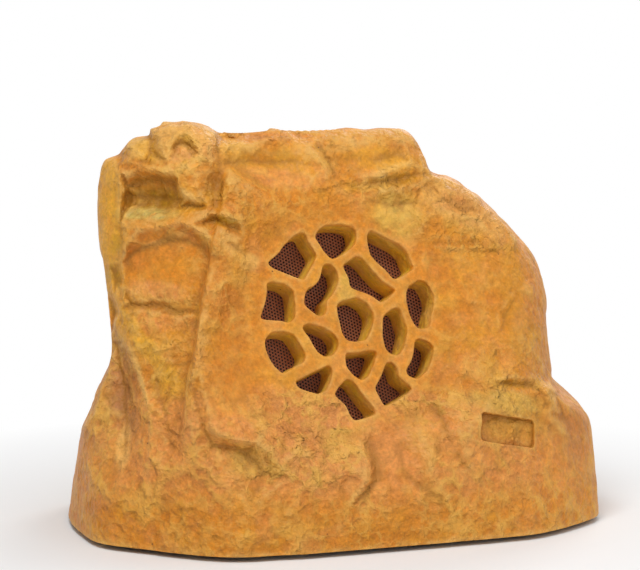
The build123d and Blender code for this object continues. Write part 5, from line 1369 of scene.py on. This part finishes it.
def rock_material():
    """Satin paint on broken stone: patches, mottling, dents, wrinkles, pale crests that are partly painted
    highlight, and painted shade in hollows.
    """
    new_material, tree, shader, add = material("rock_paint")
    place = add("ShaderNodeTexCoord").outputs["Object"]
    patches = add("ShaderNodeAttribute", attribute_name="paint").outputs["Color"]
    crest_and_highlight, pit_shade, rough = [add("ShaderNodeAttribute", attribute_name=name).outputs["Fac"]
                         for name in ("crest_and_highlight", "pit_shade", "rough")]
    mottle, blotch, grain, speck = [cloud(add, place, *lumps) for lumps in CLOUDS.values()]
    wrinkle = cloud(add, warped(add, place, *WRINKLE_WARP), *WRINKLES)
    broad_dent, broad_shade = dents(add, warped(add, place, *BROAD_WARP), BROAD_DENT)
    small_dent, small_shade = dents(add, warped(add, place, *SMALL_WARP), SMALL_DENT)
    patchy = times(add, rough, ramp_between(add, blotch, *PATCHY_RANGE))

    # Colour: patches, mottling, dark brown in the wrinkles that is also painted shade, pale rubbed ridges
    # with painted highlight, pale crests with painted highlight, painted shade in hollows, and dark spots of
    # painted shade in tiny pits
    colour = mixed(add, ramp_between(add, mottle, *MOTTLE_RANGE), patches, MOTTLE)
    colour = mixed(add, ramp_between(add, blotch, *BLOTCH_RANGE), colour, BLOTCH)
    for value, shade in zip((grain, speck, broad_shade, small_shade), SHADES):
        colour = mixed(add, 1.0, colour, spread(add, value, *shade, *SHADE_RANGE), "MULTIPLY")
    # dark brown and painted shade in the wrinkles' low places, stronger where the skin is rougher
    wash_and_shade = times(add, ramp_between(add, wrinkle, *WASH_AND_SHADE_RANGE), times(add, rough, WASH_AND_SHADE_STRENGTH))
    colour = mixed(add, wash_and_shade, colour, WASH_AND_SHADE)
    # pale rubbed paint and painted highlight on the tops of the wrinkles and on the ridges between dents
    for value, (low, high, strength) in zip((wrinkle, small_dent, broad_dent), WEAR_AND_HIGHLIGHT):
        worn_and_highlight = times(add, ramp_between(add, value, low, high), times(add, patchy, strength))
        colour = mixed(add, worn_and_highlight, colour, WORN_AND_HIGHLIGHT)
    # pale paint and painted highlight on crests, in patches
    colour = mixed(add, times(add, crest_and_highlight, ramp_between(add, mottle, *CREST_AND_HIGHLIGHT_RANGE)), colour, PALE_CREST_AND_HIGHLIGHT)
    # painted shade in hollows and creases
    colour = mixed(add, pit_shade, colour, PIT_SHADE_COLOUR)
    # painted shade of tiny pits, as sparse dark spots
    cells = add("ShaderNodeTexVoronoi", {"Vector": place, "Scale": SPOT_SCALE})
    lone = add("ShaderNodeSeparateColor", {"Color": cells.outputs["Color"]}).outputs["Red"]
    dot = ramp_between(add, cells.outputs["Distance"], *SPOT_RANGE)
    spot = times(add, dot, ramp_between(add, lone, *LONE_RANGE))
    colour = mixed(add, spot, colour, SPOT)
    tree.links.new(colour, shader.inputs["Base Color"])
    tree.links.new(spread(add, mottle, *PAINT_GLOSS), shader.inputs["Roughness"])
    shader.inputs["Specular IOR Level"].default_value = PAINT_SPECULAR

    # Relief, each height in metres
    normal = None
    heights = [times(add, height, rough) for height in (broad_dent, small_dent, wrinkle)] + [grain]
    for height, reach in zip(heights, RELIEF):
        relief = add("ShaderNodeBump", {"Height": height, "Strength": 1.0, "Distance": reach})
        if normal:
            tree.links.new(normal, relief.inputs["Normal"])
        normal = relief.outputs["Normal"]
    tree.links.new(normal, shader.inputs["Normal"])
    return new_material


def plain_material(name, colour, variation, roughness, metal, grain, bump, stretch=(1.0, 1.0, 1.0)):
    """A material with a slightly uneven colour, gloss and surface."""
    new_material, tree, shader, add = material(name)
    place = add("ShaderNodeTexCoord").outputs["Object"]
    place = add("ShaderNodeMapping", {"Vector": place, "Scale": stretch}).outputs["Vector"]
    fine = cloud(add, place, grain, FINE_DETAIL)
    broad = cloud(add, place, grain / BROAD_GRAIN, BROAD_DETAIL)
    light = tuple(min(c * (1.0 + variation), 1.0) for c in colour) + (1.0,)
    dark = tuple(c * (1.0 - variation) for c in colour) + (1.0,)
    both = add("ShaderNodeMath", {0: fine, 1: broad}, operation="ADD").outputs[0]
    base_colour = mixed(add, ramp_between(add, both, *GRAIN_RANGE), dark, light)
    tree.links.new(base_colour, shader.inputs["Base Color"])
    gloss = spread(add, broad, roughness - GLOSS_SPREAD, roughness + GLOSS_SPREAD)
    tree.links.new(gloss, shader.inputs["Roughness"])
    shader.inputs["Metallic"].default_value = metal
    relief = add("ShaderNodeBump", {"Height": fine, "Strength": bump, "Distance": GRAIN_HEIGHT})
    tree.links.new(relief.outputs["Normal"], shader.inputs["Normal"])
    return new_material


# Plain finishes: colour, variation, roughness, metal, grain per metre, bump and the grain's stretch
BROAD_GRAIN = 9.0            # how much coarser the broad grain is
FINE_DETAIL = 4.0
BROAD_DETAIL = 3.0
GRAIN_RANGE = (0.7, 1.3)
GLOSS_SPREAD = 0.08
GRAIN_HEIGHT = 0.0004        # in metres
FINISHES = {
    "grille_steel": ((0.300, 0.100, 0.042), 0.18, 0.55, 0.0, 500.0, 0.15),
    "foam": ((0.020, 0.020, 0.021), 0.3, 0.95, 0.0, 900.0, 0.8),
    "black_steel": ((0.022, 0.022, 0.024), 0.25, 0.45, 0.3, 700.0, 0.15),
    "soft_rubber": ((0.028, 0.027, 0.027), 0.2, 0.7, 0.0, 500.0, 0.2),
    "cone_paper": ((0.045, 0.043, 0.041), 0.3, 0.85, 0.0, 450.0, 0.5, (1.0, 1.0, 3.0)),
    "spider_cloth": ((0.420, 0.250, 0.075), 0.2, 0.9, 0.0, 900.0, 0.6),
    "copper": ((0.620, 0.260, 0.120), 0.15, 0.32, 1.0, 900.0, 0.2, (1.0, 1.0, 12.0)),
    "plated_steel": ((0.560, 0.560, 0.540), 0.12, 0.34, 1.0, 400.0, 0.1),
    "ferrite": ((0.060, 0.060, 0.064), 0.2, 0.75, 0.0, 600.0, 0.4),
    "board": ((0.240, 0.120, 0.040), 0.2, 0.6, 0.0, 700.0, 0.2, (6.0, 1.0, 1.0)),
    "tinned_brass": ((0.620, 0.590, 0.500), 0.12, 0.34, 1.0, 500.0, 0.1),
    "core_steel": ((0.200, 0.200, 0.210), 0.3, 0.5, 0.9, 300.0, 0.5, (1.0, 14.0, 1.0)),
    "coil_tape": ((0.560, 0.390, 0.060), 0.15, 0.4, 0.0, 300.0, 0.25),
    "block_plastic": ((0.600, 0.590, 0.550), 0.08, 0.5, 0.0, 600.0, 0.1),
    "base_plastic": ((0.045, 0.040, 0.036), 0.25, 0.62, 0.0, 420.0, 0.5),
    "wire": ((0.420, 0.030, 0.022), 0.1, 0.45, 0.0, 500.0, 0.1),
    "gland_plastic": ((0.030, 0.030, 0.032), 0.2, 0.5, 0.0, 600.0, 0.15),
}
MATERIALS = {"rock_paint": rock_material()}
for slot, finish in FINISHES.items():
    MATERIALS[slot] = plain_material(slot, *finish)
for part in frame["record"]["subparts"]:
    if part["material_slot"] in FINISHES:
        node_mesh = nodes[part["node"]].data
        node_mesh.materials.clear()
        node_mesh.materials.append(MATERIALS[part["material_slot"]])

# The two pieces that replace CAD nodes
rock_skin = rock()
rock_object = made("rock", rock_skin.points, rock_skin.faces, True)
rock_object.data.set_sharp_from_angle(angle=math.radians(CREASE_ANGLE))
paint(rock_object)
rock_object.data.materials.append(MATERIALS["rock_paint"])
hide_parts("rock_shell")
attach(rock_object, "housing")

sheet_object = perforated_sheet()
sheet_object.data.materials.append(MATERIALS["grille_steel"])
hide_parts("perforated_grille")
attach(sheet_object, "housing")

# Floor, light and camera
FLOOR_RADIUS = 3.0
FLOOR_SIDES = 96
FLOOR_COLOUR = (0.86, 0.86, 0.86, 1.0)
FLOOR_ROUGHNESS = 0.9
FLOOR_SPECULAR = 0.1
FLOOR_FADE = (0.22, 0.5)     # distances between which the floor runs out into the background
WHITE = (1.0, 1.0, 1.0, 1.0)
WORLD_LIGHT = 0.36
NEAREST_SEEN = 0.05          # distance from which the camera sees
LAMPS = {                    # azimuth, elevation, distance, size and power
    "key": (-40.0, 57.0, 1.5, 0.6, 13.0),
    "front": (5.0, 14.0, 1.8, 1.4, 5.5),
    "side": (75.0, 35.0, 1.6, 1.0, 3.5),
    "rear": (135.0, 36.0, 1.7, 0.7, 8.0),
}


def floor():
    """Pale round floor that keeps the object's shadow and runs out into the white background."""
    ring = [(x, y, 0.0) for x, y in circle(FLOOR_RADIUS, FLOOR_SIDES)]
    mesh = bpy.data.meshes.new("floor")
    mesh.from_pydata(ring, [], [tuple(range(FLOOR_SIDES))])
    floor_object = placed("floor", mesh)
    new_material, tree, shader, add = material("floor")
    shader.inputs["Base Color"].default_value = FLOOR_COLOUR
    shader.inputs["Roughness"].default_value = FLOOR_ROUGHNESS
    shader.inputs["Specular IOR Level"].default_value = FLOOR_SPECULAR
    place = add("ShaderNodeTexCoord").outputs["Object"]
    reach = add("ShaderNodeVectorMath", {0: place}, operation="LENGTH").outputs["Value"]
    white = times(add, ramp_between(add, reach, *FLOOR_FADE), seen(add))
    glow = add("ShaderNodeEmission", {"Color": WHITE, "Strength": 1.0})
    blend = add("ShaderNodeMixShader", {0: white, 1: shader.outputs["BSDF"], 2: glow.outputs["Emission"]})
    tree.links.new(blend.outputs["Shader"], tree.nodes["Material Output"].inputs["Surface"])
    mesh.materials.append(new_material)


def world():
    """White background for the camera and mirrors, and a soft grey light for the object."""
    new_world = bpy.data.worlds.new("studio")
    bpy.context.scene.world = new_world
    new_world.use_nodes = True
    tree = new_world.node_tree
    background = tree.nodes["Background"]
    background.inputs["Color"].default_value = WHITE
    add = adder(tree)
    tree.links.new(spread(add, seen(add), WORLD_LIGHT, 1.0), background.inputs["Strength"])


def lamp(name, azimuth, elevation, distance, size, power):
    """Square soft light that looks at the middle of the object."""
    data = bpy.data.lights.new(name, "AREA")
    data.size = size
    data.energy = power
    lamp_object = placed(name, data)
    target = (cad_low + cad_high) / 2.0
    lamp_object.location = target + Vector(facing(azimuth, elevation)) * distance
    lamp_object.rotation_euler = (target - lamp_object.location).to_track_quat("-Z", "Y").to_euler()


floor()
world()
for lamp_name, setting in LAMPS.items():
    lamp(lamp_name, *setting)

camera_data = bpy.data.cameras.new("camera")
camera_data.lens = LENS
camera_data.sensor_width = SENSOR
camera_data.clip_start = NEAREST_SEEN
camera_object = placed("camera", camera_data)
camera_object.location = Vector(VIEW_PLACE * MM)
camera_object.rotation_euler = Vector(-VIEW_FRONT).to_track_quat("-Z", "Y").to_euler()
bpy.context.scene.camera = camera_object
bpy.context.scene.view_settings.view_transform = "Standard"
